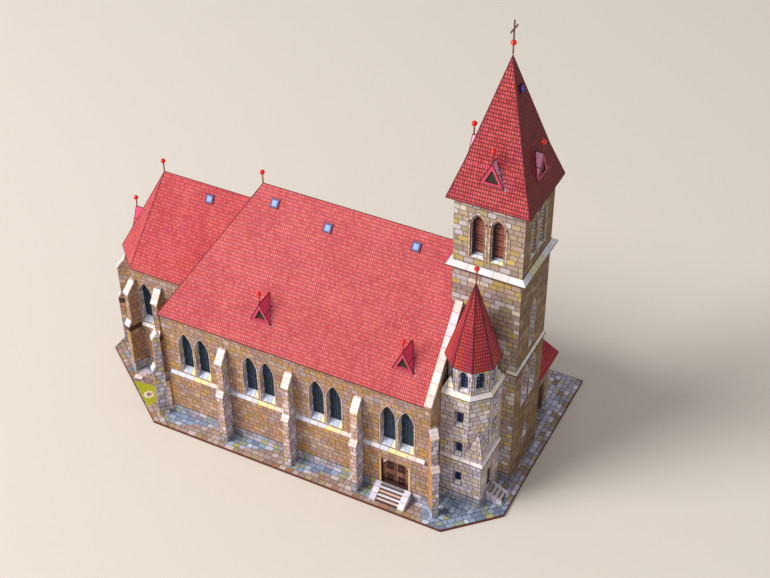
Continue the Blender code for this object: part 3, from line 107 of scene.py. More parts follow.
NAVE_DORMER_X, TOWER_DORMER_IN, CHOIR_DORMER_Z = (133.0, 228.3), 4.2, 93.0
DORMER_PIN, RIDGE_PIN, TURRET_PIN, TOWER_PIN, PIN_SET_BACK = 7.0, 8.0, 9.0, 6.5, 0.8
PIN_RADIUS, PIN_STEM = 1.5, 0.4
SKYLIGHT, TOWER_SKYLIGHT, SKYLIGHT_THICKNESS = (5.4, 6.0), (3.6, 4.2), 0.8
NAVE_SKYLIGHTS = ((120.1, 54.3), (157.9, 51.2), (214.5, 54.2))
CHOIR_SKYLIGHT_X, CHOIR_SKYLIGHT_Z, TOWER_SKYLIGHT_Z = 71.0, 135.8, 267.5
CORNICE_LOW, CORNICE_EDGE, CORNICE_EDGE_HEIGHT = TURRET_SHAFT_TOP + GAP, 1.3, 0.6
PLATE_TOP = -0.3
PLATE_OUTLINE = (
    (-5.8, 34.2), (58.8, -14.1), (264.8, -14.1), (293.8, 13.8),
    (293.8, 146.5), (74.0, 146.5), (-5.8, 86.8),
)

# The walls, each from one end to the other with its outer face on the right
SOUTH_WALL = ((NAVE_EAST, 0.0), (NAVE_WEST, 0.0))
NORTH_WALL = ((NAVE_WEST, NAVE_WIDTH), (NAVE_EAST, NAVE_WIDTH))
TOWER_CORNERS = ((TOWER_EAST, TOWER_SOUTH), (TOWER_WEST, TOWER_SOUTH),
                 (TOWER_WEST, TOWER_NORTH), (TOWER_EAST, TOWER_NORTH))
TOWER_WALLS = tuple(zip(TOWER_CORNERS, TOWER_CORNERS[1:] + TOWER_CORNERS[:1]))
TURRET_SOUTH_WALL = ((NAVE_WEST + GAP, TURRET_SOUTH), (TURRET_WEST, TURRET_SOUTH))
TURRET_WEST_WALL = ((TURRET_WEST, TURRET_SOUTH), (TURRET_WEST, TOWER_SOUTH - GAP))
CHOIR_CORNERS = tuple(
    (APSE_X + CHOIR_HALF / cos(pi / 8) * cos(radians(22.5 + 45 * index)),
     AXIS + CHOIR_HALF / cos(pi / 8) * sin(radians(22.5 + 45 * index))) for index in (2, 3, 4, 5)
)
CHOIR_SIDES = (((NAVE_EAST - GAP, AXIS + CHOIR_HALF), CHOIR_CORNERS[0]),
               (CHOIR_CORNERS[-1], (NAVE_EAST - GAP, AXIS - CHOIR_HALF)))

# Small pieces that are drawn here and not in the solids: how far they stand off the card, reach into it and
# stay clear of what lies behind them, and then their own sizes
JOINT, SKIN = 0.25, 0.06
BED, CLEAR, PANE_GAP = 0.2, 0.1, 0.02
ORDER_WIDTH, ORDER_FRONT, ORDER_BACK = 0.75, 0.4, 1.1
SLAT_COUNT, SLAT_SHARE, SLAT_THICKNESS, SLAT_FRONT = 13, 0.6, 0.45, 3.4
CHEEK_STONES, CHEEK_RISE = 3, 0.5
ORDER_PITCH, JAMB_PITCH, LINING_WIDTH = 2.6, 2.5, 1.6
SLIT_LINE = 0.35
BAND_PITCH, STRING_PITCH, LEDGE_PITCH, BELT_PITCH, CORNICE_PITCH = 7.5, 5.6, 6.5, 8.4, 6.4
COPING_PITCH = 7.0
SILL_SHIFT, BAND_SHIFT = 0.12, 0.18
LEAF_DEPTH, LEAF_BANDS = 1.6, (0.22, 0.78)
DOOR_STRAPS, DOOR_JAMB, TURRET_JAMB = (11.0, 21.6), 1.7, 1.0
IRON_WIDTH, SCROLL_STEPS, SCROLL_RADIUS, BOSS_SHARE = 0.7, 12, 1.9, 0.62
DOOR_CORNER, DOOR_FOOT = 5.4, 2.2
# The count and half sizes of the patches of painted shadow beside each dormer.
SHADOW_PATCH_COUNT, SHADOW_PATCH = 6, (0.5, 0.9)
# The last of these is the half width of the dark lines of painted shadow under the mouldings.
LINE, DORMER_EDGE, HIP_LINE, UNDER_SHADOW = 0.14, 0.24, 0.3, 0.3
SHEET_INSET, SHEET_TOP = 0.5, -0.05
STRIP_TOP, EDGE_STRIP, SLAB_LENGTH = -6.0, 7.0, 4.8
LAWN = ((25.4, 11.7), (41.4, 13.6), (50.1, 1.5), (48.2, -5.0))
FLOWER_BED = (42.1, 5.0)
PALE_SLABS = (
    ((23.6, 14.2), (29.2, 14.6), (28.6, 17.9), (22.8, 17.8)),
    ((24.3, 18.1), (30.0, 18.3), (29.4, 21.7), (24.3, 21.5)),
    ((25.4, 21.9), (30.4, 22.0), (29.2, 25.1), (25.2, 24.8)),
)

SLANTED_EDGES = (
    (PLATE_OUTLINE[0], PLATE_OUTLINE[1]), (PLATE_OUTLINE[2], PLATE_OUTLINE[3]),
    (PLATE_OUTLINE[5], PLATE_OUTLINE[6]),
)
WALL_BOXES = (
    (NAVE_EAST, NAVE_WEST, 0.0, NAVE_WIDTH),
    (APSE_X - CHOIR_HALF, NAVE_EAST, AXIS - CHOIR_HALF, AXIS + CHOIR_HALF),
    (NAVE_WEST, TURRET_WEST, TURRET_SOUTH, TOWER_SOUTH), (NAVE_WEST, TOWER_WEST, TOWER_SOUTH, TOWER_NORTH),
    (NAVE_WEST, PORCH_WEST, TOWER_NORTH, PORCH_NORTH),
)

# The print: rows of stones, tiles and slabs, and how far their lines wander
COURSE = 3.46
STONE_LENGTH = 4.4
TILE_ROW, TILE_COLUMN, TOWER_TILE_COLUMN = 2.16, 1.32, 1.42
SLAB_ROW = 3.5
PLINTH_TOP = 7.0
WANDER, TILE_WANDER = 0.5, 0.4
ROW_SHIFT = 37.37
JOINT_FADE = (0.10, 0.36)
STONE_RANGE = 0.26
POOL_SCALE, BLOT_SCALE, GRAIN_SCALE = 0.07, 0.9, 5.0
WEST_SLABS_FROM = (310.0, 322.0)


# Colours, as printed values from 0 to 255

def colour(red, green, blue):
    """The linear colour of a printed value."""
    values = [part / 255 for part in (red, green, blue)]
    return tuple(v / 12.92 if v <= 0.04045 else ((v + 0.055) / 1.055) ** 2.4 for v in values) + (1.0,)


# Stones with how often each occurs, and after them the broad pools of colour washed over a wall
TOWER_STONES = (
    (0.26, (184, 158, 144)), (0.20, (162, 142, 138)), (0.18, (200, 194, 200)), (0.12, (176, 160, 124)),
    (0.16, (198, 174, 96)), (0.08, (220, 210, 196)),
)
TOWER_POOLS = ((182, 158, 144), (178, 160, 122), (164, 148, 150))
NAVE_STONES = (
    (0.26, (184, 144, 126)), (0.20, (160, 130, 124)), (0.14, (192, 146, 76)), (0.14, (198, 176, 158)),
    (0.14, (168, 138, 84)), (0.12, (174, 158, 166)),
)
NAVE_POOLS = ((180, 142, 124), (184, 142, 78), (160, 136, 132))
BUTTRESS_STONES = (
    (0.30, (220, 188, 184)), (0.24, (198, 166, 162)), (0.22, (232, 206, 204)), (0.14, (208, 178, 146)),
    (0.10, (226, 214, 196)),
)
TURRET_STONES = (
    (0.28, (208, 192, 196)), (0.22, (192, 178, 196)), (0.16, (224, 216, 234)), (0.14, (216, 196, 146)),
    (0.12, (204, 188, 174)), (0.08, (236, 230, 242)),
)
TURRET_POOLS = ((208, 194, 202), (206, 194, 168), (196, 188, 214))
# Colours for the buttresses' sides: cooler stones on the sides that look towards the tower's end, as
# painted shade, and an orange wash with faint joints on those that look towards the choir, as painted
# sunlight.
SHADED_SIDE_STONES = (
    (0.28, (198, 190, 214)), (0.22, (176, 170, 194)), (0.18, (220, 218, 238)), (0.16, (198, 192, 136)),
    (0.16, (176, 164, 168)),
)
SUNNY_SIDE = (196, 140, 92)
# Tints that darken the faces looking towards the tower's end, on the tower's walls and roof: painted shade.
WEST_PAINTED_SHADE, WEST_ROOF_PAINTED_SHADE = (188, 168, 142), (180, 132, 144)
PLINTH_STONES = (
    (0.26, (180, 172, 188)), (0.20, (162, 172, 190)), (0.18, (204, 198, 210)), (0.10, (192, 186, 122)),
    (0.12, (152, 146, 160)), (0.14, (168, 176, 166)),
)
JAMB_STONES = (
    (0.30, (226, 222, 238)), (0.24, (202, 198, 218)), (0.20, (240, 238, 250)), (0.10, (220, 208, 156)),
    (0.16, (192, 180, 186)),
)
FAR_SLABS = (
    (0.28, (176, 152, 142)), (0.20, (184, 166, 162)), (0.18, (158, 138, 132)), (0.14, (204, 190, 188)),
    (0.12, (172, 160, 122)), (0.08, (168, 128, 104)),
)
# Blue slabs beside the walls: painted shadow.
SHADOWED_SLABS = (
    (0.28, (148, 168, 198)), (0.20, (180, 196, 222)), (0.18, (122, 140, 170)), (0.14, (206, 218, 238)),
    (0.12, (156, 168, 156)), (0.08, (182, 182, 122)),
)
WEST_SLABS = (
    (0.30, (196, 192, 222)), (0.24, (164, 158, 176)), (0.20, (226, 222, 246)), (0.14, (184, 176, 146)),
    (0.12, (160, 134, 122)),
)
PALE_STONES = (
    (0.30, (250, 242, 236)), (0.25, (242, 234, 242)), (0.25, (234, 234, 248)), (0.20, (248, 240, 216)),
)
DRESSED = ((250, 242, 232), (240, 228, 230), (234, 232, 246), (248, 236, 218), (242, 238, 238))
STRING_COLOURS = DRESSED + ((244, 228, 168), (212, 216, 232))
STRING_ROW = (
    (206, 214, 238), (228, 226, 232), (214, 218, 234), (246, 234, 166), (244, 226, 168), (232, 214, 208),
    (236, 226, 230),
)
CAP_COLOURS = ((244, 226, 220), (236, 214, 208), (242, 232, 232), (238, 220, 216), (232, 226, 234))
LEDGE_COLOURS = ((254, 246, 248), (246, 238, 246), (250, 240, 236))
SILL_SETS = (
    ((190, 204, 232), (208, 216, 238), (242, 226, 172)),
    ((204, 212, 236), (190, 202, 228), (238, 230, 200)),
    ((214, 220, 236), (196, 206, 230), (246, 232, 182)),
)
SILL_PAIRS = (((250, 248, 255), (238, 238, 250)), ((240, 242, 252), (250, 244, 232)))
BELFRY_SILL_PAIRS = (((240, 246, 255), (252, 242, 186)), ((234, 242, 255), (240, 244, 252)))
BELFRY_SILL_BACK = (((204, 220, 246),),)
RING_COLOURS = ((206, 178, 164), (188, 158, 144), (200, 184, 180), (192, 164, 124), (214, 196, 188))
BELFRY_RING = ((212, 184, 166), (196, 164, 144), (210, 188, 146), (220, 204, 196), (188, 156, 138))
PALE_RING = ((228, 214, 200), (212, 198, 194), (222, 216, 224), (216, 198, 156), (232, 222, 214))
SLAT_COLOURS = ((140, 76, 62), (122, 64, 54), (152, 88, 72), (112, 60, 52))
SLAT_EDGE = (196, 134, 114)
ORDER_COLOURS = ((166, 132, 112), (146, 110, 94), (178, 150, 132), (156, 128, 98))
# Near-white stones on the right side inside each belfry opening: painted light.
LIT_LINING_STONES = ((252, 250, 255), (238, 242, 255), (252, 244, 200), (232, 236, 252), (246, 250, 255))
GREY_BELT = ((236, 234, 246), (224, 222, 238), (240, 232, 226), (230, 224, 196), (234, 236, 248))
PALE_CORNICE = ((254, 246, 232), (250, 240, 240), (250, 236, 222), (244, 236, 246), (252, 248, 240))
# Painted shadow along the eaves of the roofs.
EAVE_SHADOW = (92, 26, 26)
PEN = (74, 48, 40)
PEN_SLABS = (84, 60, 54)
PEN_SOFT = (112, 80, 66)
# Navy on the left side inside each belfry opening: painted shade.
PAINTED_SHADE_NAVY = (34, 38, 66)
IRON = (58, 30, 28)
NAVE_LEAD, BLUE_LEAD = (22, 28, 40), (14, 18, 36)
DOOR_BACK, LEAF_BACK, LOUVRE_BACK = (84, 52, 42), (66, 46, 40), (62, 30, 28)
FINIAL_SHADE = (104, 58, 58)
BOARD_LIGHT, BOARD_DARK = (120, 66, 50), (84, 42, 34)
RISER = (78, 54, 52)
TREADS = ((230, 210, 208), (244, 240, 252), (236, 198, 178), (228, 234, 252), (156, 164, 172))
TURRET_TREADS = ((226, 218, 226), (236, 230, 232), (218, 212, 224), (180, 174, 182))
CHEEK_COLOURS = ((228, 220, 236), (212, 206, 226), (222, 206, 214), (238, 232, 244))
DOOR_BOARDS = ((128, 86, 64), (110, 74, 56), (138, 96, 72), (118, 78, 60))
# The corners painted at the top of each leaf: the left one pale, the right one darker as painted shade.
DOOR_CORNERS_LIT_AND_SHADED = ((250, 214, 208), (176, 128, 98))
DOOR_SHADOW = (66, 44, 36)
DOOR_ORANGE = (222, 160, 78)
DOOR_JAMBS = ((214, 172, 126), (216, 184, 142))
DARK_BOARDS = ((78, 54, 44), (66, 46, 38), (90, 62, 48))
DORMER_DARK = (52, 54, 44)
DORMER_LINE, DORMER_TRIM = (108, 26, 40), (200, 74, 104)
# Sides of the dormers' little roofs; the tower's are made lighter than the nave's: painted light.
NAVE_DORMER_SIDE, LIT_TOWER_DORMER_SIDE = (235, 80, 120), (255, 184, 220)
HIP_SHADE = (124, 48, 58)
# Lavender and grey patches of painted shadow on the roof beside each dormer.
DORMER_SHADOW_COLOURS = ((150, 108, 142), (178, 144, 172), (136, 84, 116), (172, 112, 138))
PIN_GLOSS, PIN_SHADE, STEM_SHADE = (222, 30, 18), (226, 34, 18), (150, 75, 50)
LAWN_GREEN = (170, 174, 44)
PEBBLES = ((240, 230, 232), (226, 208, 214), (208, 190, 198), (236, 220, 206))
FLOOR_SHADE = (226, 220, 212)
TILE_ORANGE, TILE_PINK = (224, 100, 78), (216, 84, 122)

# Small pieces with their colours: a skylight's layers by share and height, rings of pebbles by distance
# from the middle, number and size, and a dormer frame's layers by where they start and end and their height
SKYLIGHT_LAYERS = ((1.0, SKIN, (112, 70, 96)), (0.74, 2 * SKIN, (104, 108, 162)),
                   (0.54, 3 * SKIN, (146, 184, 246)))
TOWER_SKYLIGHT_LAYERS = ((1.0, SKIN, (70, 30, 56)), (0.84, 2 * SKIN, (44, 78, 176)),
                         (0.4, 3 * SKIN, (84, 124, 220)))
PEBBLE_RINGS = ((2.7, 8, 1.0, PEBBLES), (1.2, 5, 0.6, ((168, 110, 120), (190, 150, 160))),
                (0.0, 1, 0.7, ((120, 44, 52),)))
FRAME_LAYERS = ((0.0, 1.0, SKIN, DORMER_LINE), (0.22, 0.9, 2 * SKIN, DORMER_TRIM))

# Windows, each style with the width, colours and length of the stones round it, the wall's thickness, the
# sill's rise and colours, and the lead bars' columns, pitch, half width and colour. The belfry has no lead,
# and two rows of stones on each sill, with the part of its slope that each covers.
NAVE_STYLE = ((0.95, RING_COLOURS, 3.4), (WALL, SILL_RISE, SILL_SETS), (5, 1.9, 0.08, NAVE_LEAD))
TOWER_STYLE = ((0.9, RING_COLOURS, 3.4), (WALL, BELFRY_SILL_RISE, SILL_PAIRS), (3, 2.4, 0.2, BLUE_LEAD))
BELFRY_STONES = (1.2, BELFRY_RING, 2.8)
BELFRY_SILLS = (((WALL, BELFRY_SILL_RISE, BELFRY_SILL_PAIRS), (0.0, 0.55)),
                ((WALL, BELFRY_SILL_RISE, BELFRY_SILL_BACK), (0.58, 1.0)))
LANTERN_STYLE = ((0.8, PALE_RING, 2.6), (TURRET_WALL, LANTERN_SILL_RISE, SILL_PAIRS),
                 (3, 2.5, 0.24, BLUE_LEAD))
SLIT_GRID = (3, 5, 0.2, BLUE_LEAD)

# Light and camera, in metres but for the camera's place
KEY_PLACE, KEY_TARGET = (-1.79, -1.86, 2.16), (0.0, 0.0, 0.1)
KEY_SIZE, KEY_POWER, KEY_COLOUR = 1.76, 118.0, (1.0, 0.96, 0.92)
SKY_COLOUR, SKY_STRENGTH = (1.0, 0.97, 0.95, 1.0), 0.42
FLOOR_REACH = 4.0
CAMERA_PLACE = Vector((497.6, -527.6, 655.2))
CAMERA_AZIMUTH, CAMERA_ELEVATION, CAMERA_ROLL = 0.48125, 0.69279, -0.012215
LENS, SENSOR = 66.604, 36.0


# Shader helpers

class Value:
    """A number that a material's nodes work out, for sums with other numbers."""

    def __init__(self, draw, socket):
        self.draw, self.socket = draw, socket

    def __add__(self, other):
        return self.draw.math("ADD", self, other)

    def __sub__(self, other):
        return self.draw.math("SUBTRACT", self, other)

    def __rsub__(self, other):
        return self.draw.math("SUBTRACT", other, self)

    def __mul__(self, other):
        return self.draw.math("MULTIPLY", self, other)

    def __truediv__(self, other):
        return self.draw.math("DIVIDE", self, other)

    def __abs__(self):
        return self.draw.math("ABSOLUTE", self)

    def __lt__(self, other):
        return self.draw.math("LESS_THAN", self, other)

    def __gt__(self, other):
        return self.draw.math("GREATER_THAN", self, other)


def most(first, second):
    return first.draw.math("MAXIMUM", first, second)


def least(first, second):
    return first.draw.math("MINIMUM", first, second)


class Print:
    """One printed material: a Principled surface and the nodes that draw on it."""

    def __init__(self, name, roughness=0.62, specular=0.3):
        self.material = bpy.data.materials.new(name)
        self.material.use_nodes = True
        self.nodes = self.material.node_tree.nodes
        self.links = self.material.node_tree.links
        self.shader = self.nodes["Principled BSDF"]
        self.shader.inputs["Roughness"].default_value = roughness
        self.shader.inputs["Specular IOR Level"].default_value = specular

    def feed(self, socket, value):
        value = value.socket if isinstance(value, Value) else value
        if isinstance(value, bpy.types.NodeSocket):
            self.links.new(value, socket)
        elif value is not None:
            socket.default_value = value

    def node(self, kind, inputs=(), **settings):
        made = self.nodes.new("ShaderNode" + kind)
        for key, value in settings.items():
            setattr(made, key, value)
        for key, value in dict(inputs).items():
            self.feed(made.inputs[key], value)
        return made

    def math(self, operation, *values):
        made = self.node("Math", operation=operation)
        for socket, value in zip(made.inputs, values):
            self.feed(socket, value)
        return Value(self, made.outputs[0])

    def vector(self, operation, *values):
        made = self.node("VectorMath", operation=operation)
        for socket, value in zip(made.inputs, values):
            self.feed(socket, value)
        if operation in ("DOT_PRODUCT", "LENGTH"):
            return Value(self, made.outputs["Value"])
        return made.outputs["Vector"]

    def combine(self, x, y, z=0.0):
        return self.node("CombineXYZ", {"X": x, "Y": y, "Z": z}).outputs[0]

    def split(self, vector):
        return [Value(self, part) for part in self.node("SeparateXYZ", {"Vector": vector}).outputs]

    def noise(self, vector, scale, detail=2.0, roughness=0.5, shift=None):
        if shift is not None:
            vector = self.vector("ADD", vector, shift)
        inputs = {"Vector": vector, "Scale": scale, "Detail": detail, "Roughness": roughness}
        return Value(self, self.node("TexNoise", inputs).outputs["Fac"])

    def ramp(self, value, low, high, first=0.0, last=1.0):
        """A soft step of a value between two limits."""
        inputs = {"Value": value, "From Min": low, "From Max": high, "To Min": first, "To Max": last}
        made = self.node("MapRange", inputs, interpolation_type="SMOOTHSTEP")
        return Value(self, made.outputs["Result"])

    def palette(self, value, weighted):
        """Picks one of some weighted colours by a value from 0 to 1."""
        made = self.node("ValToRGB", {"Fac": value})
        band = made.color_ramp
        band.interpolation = "CONSTANT"
        place = 0.0
        for index, (weight, shade) in enumerate(weighted):
            step = band.elements[0] if index == 0 else band.elements.new(place)
            step.position = place
            step.color = colour(*shade)
            place += weight
        while len(band.elements) > len(weighted):
            band.elements.remove(band.elements[-1])
        return made.outputs["Color"]

    def mix(self, factor, first, second, blend="MIX"):
        made = self.node("Mix", data_type="RGBA", blend_type=blend)
        self.feed(made.inputs["Factor"], factor)
        self.feed(made.inputs[6], first)
        self.feed(made.inputs[7], second)
        return made.outputs[2]

    def brighten(self, shade, value):
        """Multiplies a colour by a grey value."""
        return self.mix(1.0, shade, self.combine(value, value, value), "MULTIPLY")

    def point(self):
        """The place of a point in the drawing's millimetres."""
        place = self.node("TexCoord").outputs["Object"]
        return self.vector("MULTIPLY_ADD", place, (1 / MM,) * 3, tuple(-TO_WORLD))

    def normal(self):
        return self.node("NewGeometry").outputs["True Normal"]

    def looks_west(self):
        """1 on faces that look towards the tower's end."""
        return self.split(self.normal())[0] > 0.5

    def looks_east(self):
        """1 on faces that look towards the choir's end."""
        return self.split(self.normal())[0] < -0.5

    def shaded_west(self, shade, tint):
        """Multiplies a colour by a tint on the faces that look towards the tower's end: painted shade, as
        if those faces lay away from the light.
        """
        darkened = self.mix(1.0, shade, colour(*tint), "MULTIPLY")
        return self.mix(self.looks_west(), shade, darkened)

    def below(self, value, limit, soft=0.25):
        """1 where a value is under a limit, fading out over a short way."""
        return self.ramp(value, limit, limit + soft, 1.0, 0.0)

    def box_distance(self, point, box):
        """How far a point lies outside an upright box in plan."""
        low_x, high_x, low_y, high_y = box
        x, y, _ = self.split(point)
        reaches = [most(abs(value - (low + high) / 2) - (high - low) / 2, 0.0)
                   for value, low, high in ((x, low_x, high_x), (y, low_y, high_y))]
        return self.vector("LENGTH", self.combine(*reaches))

    def flat(self, point):
        """Millimetres along and up whatever flat face a point lies on."""
        normal = self.normal()
        across = self.vector("CROSS_PRODUCT", (0.0, 0.0, 1.0), normal)
        along = self.vector("NORMALIZE", self.vector("ADD", across, (1e-4, 0.0, 0.0)))
        up = self.vector("CROSS_PRODUCT", normal, along)
        return self.vector("DOT_PRODUCT", point, along), self.vector("DOT_PRODUCT", point, up)

    def cells(self, value, size):
        """The number of the cell a value lies in, and the distance in millimetres to its edge."""
        ratio = value / size
        number = self.math("FLOOR", ratio)
        within = ratio - number
        return number, least(within, 1.0 - within) * size

    def wander(self, spot, scale, reach):
        """A smooth shift to either side of nothing."""
        return self.noise(spot, scale, 1.0) * reach - reach / 2

    def coursed(self, u, v, height, length, irregular=0.9):
        """Rows of stones of uneven length: two random values for each, and the distance to a joint."""
        spot = self.combine(u, v)
        row, off_row = self.cells(v + self.wander(spot, 0.45, WANDER), height)
        run = (u + self.wander(spot, 0.8, WANDER)) / length + row * ROW_SHIFT
        edge, cell = (self.node("TexVoronoi", {"W": run, "Scale": 1.0, "Randomness": irregular},
                                voronoi_dimensions="1D", feature=feature).outputs[output]
                      for feature, output in (("DISTANCE_TO_EDGE", "Distance"), ("F1", "Color")))
        picks = [Value(self, part) for part in self.node("SeparateColor", {"Color": cell}).outputs]
        return picks, least(off_row, Value(self, edge) * length)

    def finish(self, shade, height=None, strength=0.25, distance=0.0001):
        self.feed(self.shader.inputs["Base Color"], shade)
        if height is not None:
            bump = self.node("Bump", {"Height": height, "Strength": strength, "Distance": distance})
            self.feed(self.shader.inputs["Normal"], bump.outputs["Normal"])
        return self.material


def watercolour(draw, shade, point, depth=0.16):
    """The uneven wash of a hand-coloured print: broad pools, small blots and paper grain."""
    broad = draw.noise(point, POOL_SCALE, 2.0)
    small = draw.noise(point, BLOT_SCALE, 3.0, 0.6)
    grain = draw.noise(point, GRAIN_SCALE, 1.0)
    total = broad * 0.9 + small + grain * 0.5
    return draw.brighten(shade, draw.ramp(total, 0.6, 1.8, 1.0 - depth, 1.0 + depth)), grain


def washed(draw, shade, point, pools, amount):
    """Lays broad pools of three colours over a shade."""
    first = draw.ramp(draw.noise(point, 0.055, 2.0), 0.42, 0.58)
    second = draw.ramp(draw.noise(point, 0.075, 2.0, shift=(71.0, 13.0, 29.0)), 0.48, 0.62)
    pool = draw.mix(second, draw.mix(first, colour(*pools[0]), colour(*pools[1])), colour(*pools[2]))
    return draw.mix(amount, shade, pool)


def string_ink_and_shadow(draw, point, depth, string):
    """Ink over a string course, wherever it stands out from the wall, and painted shadow along its foot."""
    low, high = string[0] - GAP, string[1] + GAP
    z = draw.split(point)[2]
    proud = depth(draw, point) < -0.02
    return most(proud * (z > low) * (z < high), draw.below(abs(z - low), 0.25))


def masonry(name, stones, pools=None, depth=None, string=None, plinth=True, length=STONE_LENGTH,
            joint_strength=0.8, wash=0.45, lit_and_shaded_sides=False, west_shade=None):
    """Printed squared stones. Depth says how far a point lies inside the wall's outer face."""
    draw = Print(name)
    point = draw.point()
    picks, off_joint = draw.coursed(*draw.flat(point), COURSE, length)
    line = draw.ramp(off_joint, *JOINT_FADE, joint_strength, 0.0)
    shade = draw.palette(picks[0], stones)
    if pools is not None:
        shade = washed(draw, shade, point, pools, wash)
    # Cooler stones on the sides away from the light are painted shade; the orange wash with faint joints on
    # the sides towards it is painted sunlight.
    if lit_and_shaded_sides:
        shade = draw.mix(draw.looks_west(), shade, draw.palette(picks[0], SHADED_SIDE_STONES))
        shade = draw.mix(draw.looks_east(), shade, colour(*SUNNY_SIDE))
        line = line * (draw.looks_east() * -0.7 + 1.0)
    if plinth:
        z = draw.split(point)[2]
        shade = draw.mix(z < PLINTH_TOP, shade, draw.palette(picks[0], PLINTH_STONES))
        line = most(line, draw.below(abs(z - PLINTH_TOP), 0.2))
    if depth is not None:
        shade = draw.mix(depth(draw, point) > 0.05, shade, draw.palette(picks[0], JAMB_STONES))
    # Faces that look towards the tower's end are darkened: painted shade.
    if west_shade is not None:
        shade = draw.shaded_west(shade, west_shade)
    # Painted shadow along the foot of the string course, with ink over the course.
    if string is not None:
        line = most(line, string_ink_and_shadow(draw, point, depth, string))
    shade = draw.brighten(shade, picks[1] * STONE_RANGE + 0.86)
    shade, grain = watercolour(draw, shade, point)
    return draw.finish(draw.mix(line, shade, colour(*PEN)), grain, 0.15)


def nave_depth(draw, point):
    y = draw.split(point)[1]
    return least(y, NAVE_WIDTH - y)


def octagon_depth(centre, apothem, open_west=False):
    """How far a point lies inside an octagon, or inside one that runs on straight to the west."""
    def depth(draw, point):
        x, y, _ = draw.split(point)
        dx = centre[0] - x if open_west else abs(x - centre[0])
        dy = abs(y - centre[1])
        return apothem - most(most(dx, dy), (dx + dy) * sqrt(0.5))
    return depth


def tower_depth(draw, point):
    x, y, _ = draw.split(point)
    return TOWER_HALF - most(abs(x - TOWER_X), abs(y - AXIS))


def turret_depth(draw, point):
    x, y, _ = draw.split(point)
    dx, dy = TURRET_WEST - x, y - TURRET_SOUTH
    return least(least(dx, dy), (dx + dy - TURRET_CUT) * sqrt(0.5))


def off_hip(draw, point, centre, turn):
    """How far a point on a pyramid's side lies from the hip beside it, level along the side."""
    out = draw.vector("NORMALIZE", draw.vector("MULTIPLY", draw.normal(), (1.0, 1.0, 0.0)))
    arm = draw.vector("SUBTRACT", point, (centre[0], centre[1], 0.0))
    reach = draw.vector("DOT_PRODUCT", arm, out)
    along = draw.vector("DOT_PRODUCT", arm, draw.vector("CROSS_PRODUCT", (0.0, 0.0, 1.0), out))
    return reach * tan(turn) - abs(along), along


def tiles(name, light, dark, joint, strength, eave, column_width=TILE_COLUMN, pyramid=None, facets=None,
          west_shade=None):
    """Rows of printed tiles with dark joints, a dark line along the hips, and painted shadow along the
    eave.
    """
    draw = Print(name, 0.55)
    point = draw.point()
    u, v = draw.flat(point)
    row, off_row = draw.cells(v + draw.wander(draw.combine(u, v), 0.3, TILE_WANDER), TILE_ROW)
    column, off_column = draw.cells(u, column_width)
    cell = draw.node("TexWhiteNoise", {"Vector": draw.combine(column, row)}, noise_dimensions="2D")
    broad = draw.noise(draw.vector("MULTIPLY", point, (1.0, 1.0, 0.6)), 0.05, 3.0, 0.6)
    pick = Value(draw, cell.outputs["Value"]) * 0.45 + broad * 0.9
    shade = draw.mix(draw.ramp(pick, 0.3, 1.05), colour(*light), colour(*dark))
    warm = draw.ramp(draw.noise(point, 0.11, 3.0, 0.6, (17.0, 5.0, 3.0)), 0.46, 0.62)
    blush = draw.ramp(draw.noise(point, 0.13, 3.0, 0.6, (3.0, 41.0, 9.0)), 0.50, 0.66)
    shade = draw.mix(warm * 0.25, shade, colour(*TILE_ORANGE))
    shade = draw.mix(blush * 0.3, shade, colour(*TILE_PINK))
    lines = most(draw.ramp(off_row, 0.10, 0.50, 1.0, 0.0), draw.ramp(off_column, 0.08, 0.46, 0.9, 0.0))
    if pyramid is not None:
        off_edge, along = off_hip(draw, point, *pyramid)
        if facets is not None:
            turned = draw.mix(draw.ramp(along, -4.0, 4.0), colour(*facets[0]), colour(*facets[1]))
            shade = draw.mix(0.55, shade, turned)
        lines = most(lines, draw.ramp(off_edge, 0.3, 1.1, 1.0, 0.0))
    shade = draw.mix(lines * strength, shade, colour(*joint))
    # Faces that look towards the tower's end are darkened: painted shade.
    if west_shade is not None:
        shade = draw.shaded_west(shade, west_shade)
    # A dark band along the eave: painted shadow under the roof's edge.
    z = draw.split(point)[2]
    shade = draw.mix(draw.below(z, eave + 0.35, 0.4), shade, colour(*EAVE_SHADOW))
    shade, _ = watercolour(draw, shade, point, 0.10)
    return draw.finish(shade, least(off_row, 0.5) + least(off_column, 0.3), 0.3, 0.0002)


def inked(name, roughness=0.62, depth=0.14):
    """Card whose colour is printed piece by piece, with the same uneven wash."""
    draw = Print(name, roughness)
    ink = draw.node("Attribute", attribute_name="ink").outputs["Color"]
    shade, grain = watercolour(draw, ink, draw.point(), depth)
    return draw.finish(shade, grain, 0.15)


def slab_rows(draw, spot):
    """Millimetres along and across the rows of slabs, which follow the nearest edge, and their border."""
    x, y, _ = draw.split(spot)
    by_tower = (x > NAVE_WEST) * (y > STRIP_TOP)
    run = draw.mix(by_tower, draw.combine(x, y), draw.combine(y, x))
    border = 0.0
    for start, end in SLANTED_EDGES:
        along = (Vector(end) - Vector(start)).normalized()
        offset = draw.vector("SUBTRACT", spot, (start[0], start[1], 0.0))
        inward = draw.vector("DOT_PRODUCT", offset, (-along.y, along.x, 0.0))
        aligned = draw.combine(draw.vector("DOT_PRODUCT", offset, (along.x, along.y, 0.0)), inward)
        run = draw.mix(inward < EDGE_STRIP, run, aligned)
        border = most(draw.below(abs(inward - EDGE_STRIP), 0.1), border)
    u, v, _ = draw.split(run)
    return u, v, border


